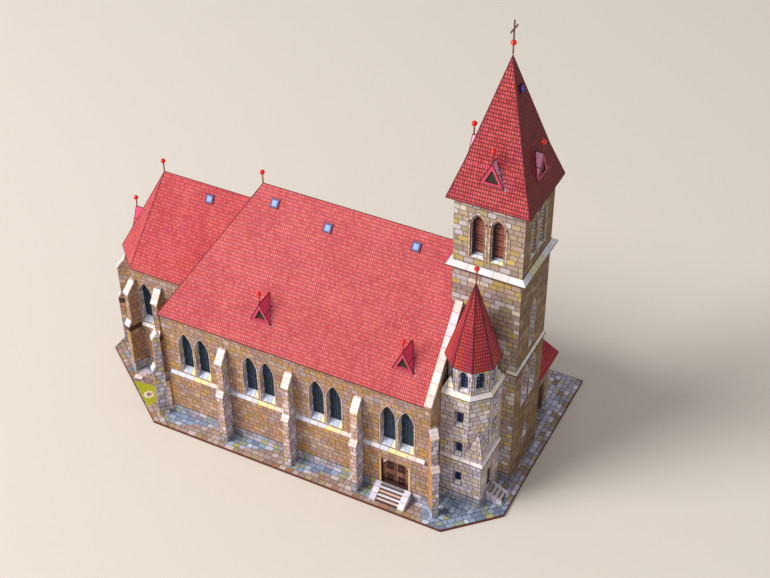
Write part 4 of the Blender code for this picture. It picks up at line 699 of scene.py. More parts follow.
def painted_wall_shadow(draw, spot):
    """1 on the blue slabs beside the walls, which are painted shadow: most at each bay's east end, and by
    the tower.
    """
    x = draw.split(spot)[0]
    gap = draw.box_distance(spot, WALL_BOXES[0])
    for box in WALL_BOXES[1:]:
        gap = least(gap, draw.box_distance(spot, box))
    bay = (x - BUTTRESS_X[0]) / (BUTTRESS_X[1] - BUTTRESS_X[0])
    reach = draw.ramp(draw.math("FRACT", bay), 0.05, 0.85, 8.5, -2.0)
    reach = most(reach, draw.ramp(x, 244.0, 256.0, -2.0, 18.0)) + draw.noise(spot, 0.11, 2.0) * 5.0
    return draw.ramp(gap - reach, -1.0, 1.0, 1.0, 0.0)


def paving():
    """Slabs in rows along the nearest edge of the base: pinkish at the rim, and blue beside the walls as
    painted shadow.
    """
    draw = Print("printed_paving_slabs")
    spot = draw.point()
    x, y, _ = draw.split(spot)
    u, v, border = slab_rows(draw, spot)
    picks, off_joint = draw.coursed(u, v, SLAB_ROW, SLAB_LENGTH)
    # Blue slabs where painted shadow lies beside the walls.
    shade = draw.mix(painted_wall_shadow(draw, spot), draw.palette(picks[0], FAR_SLABS),
                     draw.palette(picks[0], SHADOWED_SLABS))
    west = draw.ramp(x + y, *WEST_SLABS_FROM, 0.0, 0.85)
    shade = draw.mix(west, shade, draw.palette(picks[0], WEST_SLABS))
    shade = draw.brighten(shade, picks[1] * STONE_RANGE + 0.84)
    shade, grain = watercolour(draw, shade, spot)
    joints = most(draw.ramp(off_joint, *JOINT_FADE, 0.8, 0.0), border)
    return draw.finish(draw.mix(joints, shade, colour(*PEN_SLABS)), grain, 0.15)


def leaded_glass(name, dark, light, tint, pitch, line, strength):
    """Mottled painted panes behind a fine lattice of lead."""
    draw = Print(name, 0.35, 0.5)
    point = draw.point()
    u, v = draw.flat(point)
    mottle = draw.noise(point, 0.6, 3.0, 0.65)
    shade = draw.mix(draw.ramp(mottle, 0.38, 0.62), colour(*dark), colour(*light))
    patch = draw.ramp(draw.noise(point, 0.22, 2.0, shift=(31.0, 17.0, 5.0)), 0.46, 0.62)
    shade = draw.mix(patch * 0.8, shade, colour(*tint))
    off_lead = least(draw.cells(u + v, pitch)[1], draw.cells(u - v, pitch)[1])
    lead = draw.ramp(off_lead, 0.05, 0.22, strength, 0.0)
    shade = draw.mix(lead, shade, colour(*line))
    return draw.finish(shade, mottle, 0.1)


def plain(name, shade, roughness, specular=0.5, mottle=0.1):
    """One colour, a little mottled."""
    draw = Print(name, roughness, specular)
    blot = draw.noise(draw.point(), 0.8, 2.0)
    return draw.finish(draw.brighten(colour(*shade), draw.ramp(blot, 0.3, 0.7, 1 - mottle, 1 + mottle)))


def board_card():
    """The cut edge and underside of the base: grey-brown board with a dark printed rim."""
    draw = Print("board_edge", 0.8)
    point = draw.point()
    fibres = draw.noise(draw.vector("MULTIPLY", point, (0.5, 0.5, 6.0)), 1.0, 3.0)
    shade = draw.mix(draw.ramp(fibres, 0.35, 0.65), colour(*BOARD_LIGHT), colour(*BOARD_DARK))
    return draw.finish(shade, fibres, 0.2)


STRINGS = (STRING_LOW, STRING_HIGH)
CHOIR_SHAPE = octagon_depth((APSE_X, AXIS), CHOIR_HALF, True)
LANTERN_SHAPE = octagon_depth((TURRET_X, TURRET_Y), LANTERN_APOTHEM)
NAVE_PRINT = masonry("printed_nave_stone", NAVE_STONES, NAVE_POOLS, nave_depth, STRINGS, wash=0.4,
                     joint_strength=0.7)
CHOIR_PRINT = masonry("printed_choir_stone", NAVE_STONES, NAVE_POOLS, CHOIR_SHAPE, STRINGS, wash=0.4,
                      joint_strength=0.7)
GABLE_PRINT = masonry("printed_gable_stone", NAVE_STONES, NAVE_POOLS, wash=0.5)
# The buttresses' sides carry painted sunlight and painted shade.
BUTTRESS_PRINT = masonry("printed_buttress_stone", BUTTRESS_STONES, NAVE_POOLS, wash=0.15, lit_and_shaded_sides=True)
TOWER_PRINT = masonry("printed_tower_stone", TOWER_STONES, TOWER_POOLS, tower_depth, TOWER_STRING[:2],
                      length=6.0, wash=0.2, west_shade=WEST_PAINTED_SHADE)
TURRET_PRINT = masonry("printed_turret_stone", TURRET_STONES, TURRET_POOLS, turret_depth, TURRET_LEDGE[:2],
                       wash=0.4)
LANTERN_PRINT = masonry("printed_lantern_stone", TURRET_STONES, TURRET_POOLS, LANTERN_SHAPE,
                        plinth=False, length=3.4, wash=0.35)
PALE_PRINT = masonry("printed_pale_stone", PALE_STONES, plinth=False, joint_strength=0.7)
NAVE_TILES = tiles("printed_nave_tiles", (232, 112, 112), (196, 62, 74), (136, 34, 42), 0.8, EAVE_Z)
PORCH_TILES = tiles("printed_porch_tiles", (206, 66, 76), (170, 44, 60), (84, 20, 34), 0.6,
                    PORCH_EAVE_Z - 1.0)
TOWER_TILES = tiles("printed_tower_tiles", (232, 104, 104), (188, 54, 68), (78, 18, 32), 0.95, TOWER_EAVE_Z,
                    TOWER_TILE_COLUMN, ((TOWER_X, AXIS), pi / 4), west_shade=WEST_ROOF_PAINTED_SHADE)
TURRET_TILES = tiles("printed_turret_tiles", (222, 84, 84), (184, 50, 66), (66, 16, 32), 0.9,
                     TURRET_EAVE_Z, TOWER_TILE_COLUMN, ((TURRET_X, TURRET_Y), pi / 8),
                     ((226, 78, 50), (180, 40, 84)))
INK = inked("printed_piece")
PAVING = paving()
NAVE_GLASS = leaded_glass("printed_leaded_panes", (16, 26, 44), (50, 78, 120), (26, 62, 58), 1.25,
                          (90, 118, 140), 0.3)
LITTLE_GLASS = leaded_glass("printed_small_panes", (26, 40, 96), (66, 104, 196), (40, 66, 120), 1.5,
                            (84, 122, 190), 0.2)
PIN_RED = plain("glossy_pin_head", PIN_GLOSS, 0.12, 0.6, 0.04)
LOUVRE_PRINT = plain("printed_louvre_boards", LOUVRE_BACK, 0.6, 0.3, 0.25)
DOOR_PRINT = plain("dark_door", DOOR_BACK, 0.6, 0.3, 0.3)
TURRET_DOOR_PRINT = plain("dark_turret_door", LEAF_BACK, 0.6, 0.3, 0.3)
PORCH_DOOR_PRINT = plain("dark_porch_door", LEAF_BACK, 0.6, 0.3, 0.3)
FINIAL_PRINT = plain("dark_pin_and_cross", FINIAL_SHADE, 0.45, 0.4, 0.1)
PEN_LINES = plain("pen_lines", PEN_SOFT, 0.62, 0.3)
BOARD = board_card()

CAD_PRINTS = {
    "base_plate": BOARD, "belfry_louvres": LOUVRE_PRINT, "choir_wall": CHOIR_PRINT,
    "nave_east_wall_north": GABLE_PRINT, "nave_east_wall_south": GABLE_PRINT,
    "west_gable_north": GABLE_PRINT, "west_gable_south": GABLE_PRINT,
    "nave_north_wall": NAVE_PRINT, "nave_south_wall": NAVE_PRINT,
    "porch_north_wall": GABLE_PRINT, "porch_west_wall": GABLE_PRINT,
    "nave_roof": NAVE_TILES, "choir_roof": NAVE_TILES, "porch_roof": PORCH_TILES,
    "tower_roof": TOWER_TILES, "turret_roof": TURRET_TILES,
    "nave_north_glass": NAVE_GLASS, "nave_south_glass": NAVE_GLASS, "choir_glass": NAVE_GLASS,
    "tower_west_glass": LITTLE_GLASS, "turret_stair_glass": LITTLE_GLASS,
    "turret_lantern_glass": LITTLE_GLASS,
    "tower_belt": PEN_LINES, "south_steps": PEN_LINES, "turret_steps": PEN_LINES,
    "turret_cornice": PALE_PRINT,
    "south_door": DOOR_PRINT, "turret_door": TURRET_DOOR_PRINT, "porch_door": PORCH_DOOR_PRINT,
    "tower_finial": FINIAL_PRINT,
    "turret_south_wall": TURRET_PRINT, "turret_west_wall": TURRET_PRINT,
    "turret_corner_wall": TURRET_PRINT, "turret_lantern": LANTERN_PRINT,
}


def dress_nodes():
    for name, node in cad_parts.items():
        if name in CAD_PRINTS:
            material = CAD_PRINTS[name]
        elif name.startswith("tower_"):
            material = TOWER_PRINT
        else:
            material = BUTTRESS_PRINT
        node.data.materials.clear()
        node.data.materials.append(material)


# Geometry helpers

UP = Vector((0, 0, 1))


def level(x, y):
    """A level direction."""
    return Vector((x, y, 0)).normalized()


def axes(across, up, out, place=(0, 0, 0)):
    """A frame from its three directions and the place where it starts."""
    matrix = Matrix((across, up, out)).transposed().to_4x4()
    matrix.translation = place
    return matrix


def put(name, data):
    """Adds an object to the scene."""
    made = bpy.data.objects.new(name, data)
    bpy.context.scene.collection.objects.link(made)
    return made


class Shapes:
    """Gathers closed blocks, each with its own printed colour, into one piece."""

    def __init__(self):
        self.mesh = bmesh.new()
        self.ink = self.mesh.loops.layers.float_color.new("ink")

    def loft(self, first, last, shade):
        """A closed block between two outlines with the same number of points."""
        rings = [[self.mesh.verts.new(point) for point in outline] for outline in (first, last)]
        faces = [self.mesh.faces.new(rings[0][::-1]), self.mesh.faces.new(rings[1])]
        count = len(first)
        for index in range(count):
            after = (index + 1) % count
            faces.append(self.mesh.faces.new(
                (rings[0][index], rings[0][after], rings[1][after], rings[1][index])))
        bmesh.ops.recalc_face_normals(self.mesh, faces=faces)
        for face in faces:
            for loop in face.loops:
                loop[self.ink] = colour(*shade)

    def slab(self, frame_matrix, outline, back, front, shade):
        """A flat outline in a wall's frame, from one distance out of the wall to another."""
        rings = [[frame_matrix @ Vector((x, y, z)) for x, y in outline] for z in (back, front)]
        self.loft(*rings, shade)

    def make(self, name, material, slot):
        for vert in self.mesh.verts:
            vert.co = (vert.co + TO_WORLD) * MM
        data = bpy.data.meshes.new(name)
        self.mesh.to_mesh(data)
        self.mesh.free()
        data.materials.append(material)
        piece = put(name, data)
        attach(piece, "root")
        return piece


def wall_frame(start, end):
    """Local x runs along the wall, y up, and z out of its outer face."""
    along = level(end[0] - start[0], end[1] - start[1])
    return axes(along, UP, along.cross(UP), (start[0], start[1], 0))


def slope_frame(point, out, slope):
    """Local x runs along the eave, y up the slope, and z out of it."""
    out = level(*out)
    normal = (out * slope + UP).normalized()
    across = UP.cross(out)
    return axes(across, normal.cross(across), normal, point)


def rectangle(left, right, low, high):
    return [(left, low), (right, low), (right, high), (left, high)]


def section_frame(point, direction):
    """Local x runs out from a wall, y up, and z along the wall."""
    out = level(*direction)
    return axes(out, UP, out.cross(UP), (point[0], point[1], 0))


def wall_run(wall):
    """The length of a wall."""
    (x0, y0), (x1, y1) = wall
    return hypot(x1 - x0, y1 - y0)


def arch_radius(window):
    """The radius of both arcs of a pointed window."""
    left, right, _, springing, apex = window
    half, rise = (right - left) / 2, apex - springing
    return (half * half + rise * rise) / (2 * half)


def lancet(left, right, sill, springing, apex, steps=5):
    """A pointed window: two straight sides and two arcs that meet at the apex."""
    radius = arch_radius((left, right, sill, springing, apex))
    sweep = atan2(apex - springing, radius - (right - left) / 2)
    turns = [sweep * i / steps for i in range(steps + 1)]
    right_side = [(right - radius + radius * cos(a), springing + radius * sin(a)) for a in turns]
    left_side = [(left + radius - radius * cos(a), springing + radius * sin(a)) for a in turns[:-1]]
    return [(left, sill), (right, sill)] + right_side + left_side[::-1]


def offset_path(path, distance):
    """A line moved to its left by a distance, point by point."""
    moved = []
    for index, (x, y) in enumerate(path):
        before = Vector(path[max(index - 1, 0)])
        after = Vector(path[min(index + 1, len(path) - 1)])
        here = Vector((x, y))
        first = (here - before).normalized() if index else (after - here).normalized()
        second = (after - here).normalized() if index < len(path) - 1 else first
        bisector = (Vector((-first.y, first.x)) + Vector((-second.y, second.x)))
        bisector /= max(bisector.dot(Vector((-first.y, first.x))), 0.3)
        moved.append(tuple(here + bisector * distance))
    return moved


def walk(path, spacing):
    """Cuts a line into stretches of about one length, and returns the points of each."""
    points = [Vector(point) for point in path]
    lengths = [(b - a).length for a, b in zip(points, points[1:])]
    total = sum(lengths)
    count = max(1, round(total / spacing))
    marks = [total * i / count for i in range(count + 1)]
    stretches = []
    for low, high in zip(marks, marks[1:]):
        stretch = [place_on(points, lengths, low)]
        run = 0.0
        for point, length in zip(points[1:], lengths):
            run += length
            if low + 0.05 < run < high - 0.05:
                stretch.append(point)
        stretch.append(place_on(points, lengths, high))
        stretches.append([tuple(point) for point in stretch])
    return stretches


def place_on(points, lengths, distance):
    for point, after, length in zip(points, points[1:], lengths):
        if distance <= length + 1e-6:
            return point.lerp(after, min(1.0, distance / length))
        distance -= length
    return points[-1]


def trimmed(path, trim):
    """A line with a little taken off each end, for a joint."""
    first, last = Vector(path[0]), Vector(path[-1])
    near = (Vector(path[1]) - first).normalized() * trim
    far = (Vector(path[-2]) - last).normalized() * trim
    return [tuple(first + near)] + list(path[1:-1]) + [tuple(last + far)]


# Windows: a ring of small stones round the opening, stones on the sill, and the lead bars

def arch_path(window, foot=0.0):
    """Up the right side of a window, over its arch and down the left side."""
    left, right, sill, springing, apex = window
    outline = lancet(left, right, sill + foot, springing, apex)
    return [(right, sill + foot)] + outline[2:] + [(left, sill + foot)]


def half_width(window, z):
    """How far an opening reaches to either side of its middle at a height."""
    left, right, _, springing, _ = window
    radius = arch_radius(window)
    rise = max(z - springing, 0.0)
    return sqrt(max(radius ** 2 - rise ** 2, 0.0)) - radius + (right - left) / 2


def arch_height(window, x):
    """How high an opening reaches at a distance along the wall."""
    left, right, _, springing, _ = window
    radius = arch_radius(window)
    reach = radius - (right - left) / 2 + abs(x - (left + right) / 2)
    return springing + sqrt(max(radius ** 2 - reach ** 2, 0.0))


def ribbon(shapes, wall, line, other, back, front, shade):
    """Closed slabs that fill the strip between two lines with the same number of points."""
    for first, second, third, fourth in zip(line, line[1:], other[1:], other):
        shapes.slab(wall, [first, second, third, fourth], back, front, shade)


def window_ring(shapes, wall, window, ring, rng, bed=PEN_SOFT):
    """Small stones up both sides of a window and over its arch, on a pen line."""
    width, palette, pitch = ring
    path = arch_path(window)
    ribbon(shapes, wall, offset_path(path, -SKIN), offset_path(path, -width - JOINT), -BED, SKIN, bed)
    for stretch in walk(offset_path(path, -JOINT), pitch):
        line = trimmed(stretch, JOINT / 2)
        ribbon(shapes, wall, line, offset_path(line, JOINT - width), 0.0, 2 * SKIN, rng.choice(palette))


def uneven_marks(left, right, count, shift, rng):
    """The ends of and joints between some stones side by side, each joint a little out of place."""
    return [left + (right - left) * (i + (rng.uniform(-shift, shift) if 0 < i < count else 0.0)) / count
            for i in range(count + 1)]


def window_sill(shapes, wall, window, sill, rng, span=(0.0, 1.0)):
    """Stones side by side on a sloping sill, over a dark bed. Span is the part of the slope they cover."""
    left, right, low = window[:3]
    thickness, rise, sets = sill
    shades = rng.choice(sets)
    pieces = len(shades)
    start, end = (part * (thickness - CLEAR) for part in span)
    marks = uneven_marks(left, right, pieces, SILL_SHIFT, rng)
    strips = [(left, right, start, end, 0, PEN_SOFT)]
    strips += [(a + JOINT / 2, b - JOINT / 2, start + JOINT, end, 1, shade)
               for a, b, shade in zip(marks, marks[1:], shades)]
    for a, b, first, last, layer, shade in strips:
        ends = []
        for reach in (first, last):
            foot = low + rise * reach / thickness + SKIN * layer
            ends.append([wall @ Vector((x, z, -reach)) for x, z in rectangle(a, b, foot, foot + SKIN)])
        shapes.loft(ends[0], ends[1], shade)


def lattice(shapes, wall, window, depth, rise, lead):
    """Lead bars just in front of an arched pane."""
    left, right, sill, _, apex = window
    columns, pitch, bar, shade = lead
    middle, foot = (left + right) / 2, sill + rise
    for column in range(1, columns):
        x = left + (right - left) * column / columns
        upright = rectangle(x - bar, x + bar, foot, arch_height(window, x))
        shapes.slab(wall, upright, -depth - BED, -depth, shade)
    for row in range(1, int((apex - foot) / pitch + 0.5)):
        z = foot + pitch * row
        reach = half_width(window, z)
        level = rectangle(middle - reach, middle + reach, z - bar, z + bar)
        shapes.slab(wall, level, -depth - BED, -depth + PANE_GAP, shade)


def window_grid(shapes, wall, box, depth):
    """Lead bars that divide a small square-headed window into panes."""
    left, right, low, high = box
    columns, rows, bar, shade = SLIT_GRID
    for column in range(1, columns):
        x = left + (right - left) * column / columns
        shapes.slab(wall, rectangle(x - bar, x + bar, low, high), -depth - BED, -depth, shade)
    for row in range(1, rows):
        z = low + (high - low) * row / rows
        shapes.slab(wall, rectangle(left, right, z - bar, z + bar), -depth - BED, -depth + PANE_GAP, shade)


def dress_window(shapes, wall, window, style, rng):
    """The stones round a pointed window, its sill and its lead bars, each in its own piece."""
    ring, sill, lead = style
    rings, sills, bars = shapes
    window_ring(rings, wall, window, ring, rng)
    window_sill(sills, wall, window, sill, rng)
    lattice(bars, wall, window, sill[0] + PANE_GAP, sill[1], lead)


def slit_frame(shapes, wall, slit, width=SLIT_LINE):
    """A pen line up both sides of a small window and over its head."""
    left, right, low, high = slit
    for outline in (rectangle(left - width, left, low, high + width),
                    rectangle(right, right + width, low, high + width),
                    rectangle(left, right, high, high + width)):
        shapes.slab(wall, outline, 0.0, SKIN, PEN)


def nave_windows():
    """Each wall with the windows of the nave and choir in it."""
    lefts = [middle + offset for middle in WINDOW_PAIR_X
             for offset in (-LANCET_GAP / 2 - LANCET_WIDTH, LANCET_GAP / 2)]
    sets = [(SOUTH_WALL, [left - NAVE_EAST for left in lefts]),
            (NORTH_WALL, [NAVE_WEST - left - LANCET_WIDTH for left in lefts])]
    half = LANCET_WIDTH / 2
    for start, end in zip(CHOIR_CORNERS, CHOIR_CORNERS[1:]):
        sets.append(((start, end), [wall_run((start, end)) / 2 - half]))
    for start, end in CHOIR_SIDES:
        sets.append(((start, end), [abs(x - start[0]) - half for x in CHOIR_WINDOW_X]))
    heights = (LANCET_SILL, LANCET_SPRINGING, LANCET_APEX)
    return [(wall, [(left, left + LANCET_WIDTH, *heights) for left in group]) for wall, group in sets]


def dress_nave_windows():
    rng = Random(3)
    rings, sills, bars = Shapes(), Shapes(), Shapes()
    for wall, windows in nave_windows():
        place = wall_frame(*wall)
        for window in windows:
            dress_window((rings, sills, bars), place, window, NAVE_STYLE, rng)
    rings.make("nave_window_surrounds", INK, "printed_stone")
    sills.make("nave_window_sills", INK, "dressed_stone")
    bars.make("nave_window_lattice", INK, "window_panes")


def inner_order(shapes, wall, window, rng):
    """A brown ring of stones inside an opening, and behind it a navy left side as painted shade and a pale
    right one as painted light.
    """
    path = arch_path(window, BELFRY_SILL_RISE * ORDER_BACK / WALL)
    ribbon(shapes, wall, path, offset_path(path, ORDER_WIDTH), -ORDER_BACK, -ORDER_FRONT, PEN)
    for stretch in walk(path, ORDER_PITCH):
        line = offset_path(trimmed(stretch, JOINT / 2), JOINT)
        ribbon(shapes, wall, line, offset_path(line, ORDER_WIDTH - JOINT + SKIN), -ORDER_BACK,
               SKIN - ORDER_FRONT, rng.choice(ORDER_COLOURS))
    lining = arch_path(window, BELFRY_SILL_RISE)
    half = len(lining) // 2
    left_side, right_side = lining[half:], lining[:half + 1]
    # The navy left side is painted shade; the near-white stones on the right are painted light.
    ribbon(shapes, wall, left_side, offset_path(left_side, LINING_WIDTH), CLEAR - WALL, -ORDER_BACK, PAINTED_SHADE_NAVY)
    ribbon(shapes, wall, right_side, offset_path(right_side, SKIN), CLEAR - WALL, -ORDER_BACK, PEN)
    for stretch in walk(right_side, JAMB_PITCH):
        line = trimmed(stretch, JOINT)
        ribbon(shapes, wall, line, offset_path(line, 3 * SKIN), 2 * CLEAR - WALL, -ORDER_BACK - SKIN,
               rng.choice(LIT_LINING_STONES))


def louvre_slats(shapes, wall, window, rng):
    """Sloping boards between the sides of a belfry opening, each with a pale front edge."""
    middle = (window[0] + window[1]) / 2
    low = window[2] + BELFRY_SILL_RISE
    pitch = (window[4] - low) / SLAT_COUNT
    for step in range(SLAT_COUNT):
        foot = low + pitch * step
        head = foot + pitch * SLAT_SHARE
        reach = half_width(window, head) - 2 * SKIN
        if reach < 2 * ORDER_WIDTH:
            continue
        ends = [[wall @ Vector((x, z, -depth))
                 for x, z in rectangle(middle - reach, middle + reach, height, height + SLAT_THICKNESS)]
                for height, depth in ((foot, SLAT_FRONT), (head, WALL - CLEAR))]
        shapes.loft(ends[0], ends[1], rng.choice(SLAT_COLOURS))
        edge = rectangle(middle - reach, middle + reach, foot + JOINT, foot + SLAT_THICKNESS)
        shapes.slab(wall, edge, -SLAT_FRONT, SKIN - SLAT_FRONT, SLAT_EDGE)


def dress_belfry():
    rng = Random(5)
    rings, sills, slats = Shapes(), Shapes(), Shapes()
    for wall in TOWER_WALLS:
        place = wall_frame(*wall)
        for offset in BELFRY_OFFSETS:
            left = TOWER_HALF + offset - BELFRY_WIDTH / 2
            window = (left, left + BELFRY_WIDTH, BELFRY_SILL, BELFRY_SPRINGING, BELFRY_APEX)
            window_ring(rings, place, window, BELFRY_STONES, rng, PEN)
            inner_order(rings, place, window, rng)
            for sill, span in BELFRY_SILLS:
                window_sill(sills, place, window, sill, rng, span)
            louvre_slats(slats, place, window, rng)
    rings.make("belfry_surrounds", INK, "printed_stone")
    sills.make("belfry_sills", INK, "dressed_stone")
    slats.make("belfry_slats", INK, "louvre_boards")


def small_square_windows():
    """Wall, opening, thickness and sill's rise for the tower's low window and the turret's slits."""
    windows = [(TOWER_WALLS[1], LOW_WINDOW, WALL, BELFRY_SILL_RISE)]
    south, west = TURRET_SLIT_X - TURRET_SOUTH_WALL[0][0], TURRET_WEST_SLIT_Y - TURRET_SOUTH
    for wall, middle, heights in ((TURRET_SOUTH_WALL, south, TURRET_SLITS),
                                  (TURRET_WEST_WALL, west, TURRET_WEST_SLITS)):
        windows += [(wall, (middle - SLIT_HALF, middle + SLIT_HALF, low, high), TURRET_WALL, SLIT_SILL_RISE)
                    for low, high in heights]
    return windows


def dress_small_windows():
    """The windows of the tower's west wall, the stair turret and its lantern."""
    rng = Random(8)
    rings, sills, bars = Shapes(), Shapes(), Shapes()
    place = wall_frame(*TOWER_WALLS[1])
    for window in TOWER_LANCETS:
        dress_window((rings, sills, bars), place, window, TOWER_STYLE, rng)
    for wall, slit, thickness, rise in small_square_windows():
        place = wall_frame(*wall)
        left, right, low, high = slit
        slit_frame(rings, place, slit)
        window_sill(sills, place, slit, (thickness, rise, SILL_PAIRS), rng)
        window_grid(bars, place, (left, right, low + rise, high), thickness + PANE_GAP)
    window = (0.0, LANTERN_WINDOW, LANTERN_SILL, LANTERN_SPRINGING, LANTERN_APEX)
    for turn in range(8):
        out = Vector((sin(turn * pi / 4), -cos(turn * pi / 4)))
        middle = Vector((TURRET_X, TURRET_Y)) + out * LANTERN_APOTHEM
        along = Vector((-out.y, out.x)) * LANTERN_WINDOW / 2
        place = wall_frame(middle - along, middle + along)
        dress_window((rings, sills, bars), place, window, LANTERN_STYLE, rng)
    rings.make("small_window_surrounds", INK, "printed_stone")
    sills.make("small_window_sills", INK, "dressed_stone")
    bars.make("small_window_lattice", INK, "window_panes")


# Pale stones on the string courses, ledges, belt, cornice, gables and buttresses

def band_stones(shapes, wall, left, right, section, rng, palette, pitch=BAND_PITCH, mitres=(0.0, 0.0),
                ordered=False):
    """Stones along a moulding. A mitre lets an end follow the corner as the section stands out."""
    place = wall_frame(*wall)
    count = max(1, round((right - left) / pitch))
    marks = uneven_marks(left, right, count, BAND_SHIFT, rng)
    for index, (a, b) in enumerate(zip(marks, marks[1:])):
        ends = []
        for mark, side, mitre in ((a, 1, -mitres[0] if index == 0 else 0.0),
                                  (b, -1, mitres[1] if index == count - 1 else 0.0)):
            trim = side * JOINT / 2 if mitre == 0.0 else 0.0
            ends.append([place @ Vector((mark + trim + out * mitre, z, out)) for out, z in section])
        shade = palette[index * len(palette) // count] if ordered else rng.choice(palette)
        shapes.loft(ends[0], ends[1], shade)


def moulding_skin(low, high, depth):
    """The section of the stones over a moulding."""
    edge = low + MOULDING_LIP
    return [(0.0, low - SKIN), (depth + SKIN, edge - SKIN / 2), (depth + SKIN, edge + MOULDING_EDGE + SKIN),
            (0.0, high + SKIN)]


def nave_strings(bands, rng):
    """The string course of the nave and choir, between their buttresses."""
    section = moulding_skin(STRING_LOW, STRING_HIGH, STRING_DEPTH)
    half = BUTTRESS_WIDTH / 2 + GAP
    corner = BUTTRESS_WIDTH / sqrt(2) + GAP
    edges = [NAVE_EAST + corner] + [x + side * half for x in BUTTRESS_X for side in (-1, 1)]
    edges.append(NAVE_WEST - corner)
    for a, b in zip(edges[0::2], edges[1::2]):
        for wall, near, far in ((SOUTH_WALL, a - NAVE_EAST, b - NAVE_EAST),
                                (NORTH_WALL, NAVE_WEST - b, NAVE_WEST - a)):
            band_stones(bands, wall, near, far, section, rng, STRING_ROW, STRING_PITCH,
                        ordered=True)
    for start, end in zip(CHOIR_CORNERS, CHOIR_CORNERS[1:]):
        length = wall_run((start, end))
        band_stones(bands, (start, end), STRING_CORNER, length - STRING_CORNER, section, rng,
                    STRING_COLOURS)
    clear = BUTTRESS_WIDTH / 2
    for start, end in CHOIR_SIDES:
        length = wall_run((start, end))
        place = abs(CHOIR_BUTTRESS_X - start[0])
        near, far = (0.5, STRING_CORNER) if start[0] > end[0] else (STRING_CORNER, 0.5)
        band_stones(bands, (start, end), near, place - clear, section, rng, STRING_COLOURS)
        band_stones(bands, (start, end), place + clear, length - far, section, rng, STRING_COLOURS)


def tower_strings(bands, rng):
    """The string course of the tower and the ledge of its stair turret."""
    section = moulding_skin(*TOWER_STRING)
    turret = TURRET_WEST + CORNICE_EDGE + GAP - TOWER_EAST
    gable = TOWER_WEST - NAVE_WEST - COPING_PROUD - GAP
    for index, near, far, mitres in ((0, turret, TOWER_SIZE, (0.0, 1.0)), (1, 0.0, TOWER_SIZE, (1.0, 1.0)),
                                     (2, 0.0, gable, (1.0, 0.0))):
        band_stones(bands, TOWER_WALLS[index], near, far, section, rng, STRING_COLOURS,
                    BAND_PITCH, mitres)
    ledge = moulding_skin(*TURRET_LEDGE)
    south, west = wall_run(TURRET_SOUTH_WALL), wall_run(TURRET_WEST_WALL)
    for wall, near, far, mitres in ((TURRET_SOUTH_WALL, BED, south, (0.0, LEDGE_MITRE)),
                                    (TURRET_WEST_WALL, 0.0, west - BED, (LEDGE_MITRE, 0.0))):
        band_stones(bands, wall, near, far, ledge, rng, LEDGE_COLOURS, LEDGE_PITCH, mitres)


def belt_stones(bands, rng):
    """The broad belt under the belfry."""
    reach = BELT_DEPTH + SKIN
    section = [(GAP, BELT_LOW - SKIN), (reach, BELT_EDGE - SKIN / 2),
               (reach, BELT_EDGE + BELT_EDGE_HEIGHT + SKIN), (GAP, BELT_TOP + SKIN)]
    for index, wall in enumerate(TOWER_WALLS):
        palette = GREY_BELT if index == 1 else DRESSED
        band_stones(bands, wall, 0.0, TOWER_SIZE, section, rng, palette, BELT_PITCH, (1.0, 1.0))


def cornice_stones(bands, rng):
    """The cornice under the turret's lantern: south side, slanting corner and west side."""
    low, edge = CORNICE_LOW - SKIN, CORNICE_EDGE + SKIN
    section = [(0.0, low), (edge, low), (edge, CORNICE_LOW + CORNICE_EDGE_HEIGHT + SKIN),
               (0.0, LANTERN_LOW - GAP + SKIN)]
    corner, turn = TURRET_WEST - TURRET_CUT, tan(pi / 8)
    points = [(NAVE_WEST + COPING_PROUD + GAP, TURRET_SOUTH), (corner, TURRET_SOUTH),
              (TURRET_WEST, TURRET_SOUTH + TURRET_CUT), (TURRET_WEST, TOWER_SOUTH - GAP)]
    for index, wall in enumerate(zip(points, points[1:])):
        mitres = (turn if index > 0 else 0.0, turn if index < 2 else 0.0)
        band_stones(bands, wall, 0.0, wall_run(wall), section, rng, PALE_CORNICE, CORNICE_PITCH, mitres)


def coping_stones(bands, rng):
    """Stones up both slopes of the west gable."""
    place = axes((0, 1, 0), UP, (1, 0, 0))
    lift = COPING_THICKNESS * hypot(1.0, NAVE_SLOPE)
    length = TOWER_SOUTH - GAP + EAVE_OVERHANG
    count = round(length * hypot(1.0, NAVE_SLOPE) / COPING_PITCH)
    for side in (-1, 1):
        for step in range(count):
            outline = []
            for part, end in ((step, JOINT / 2), (step + 1, -JOINT / 2)):
                run = length * part / count + end
                y, z = AXIS + side * (AXIS + EAVE_OVERHANG - run), EAVE_Z + run * NAVE_SLOPE
                outline += [(y, z - COPING_SUNK - SKIN), (y, z + lift + SKIN)]
            outline = [outline[0], outline[2], outline[3], outline[1]]
            bands.slab(place, outline, NAVE_WEST - WALL - SKIN, NAVE_WEST + COPING_PROUD + SKIN,
                       rng.choice(CAP_COLOURS))


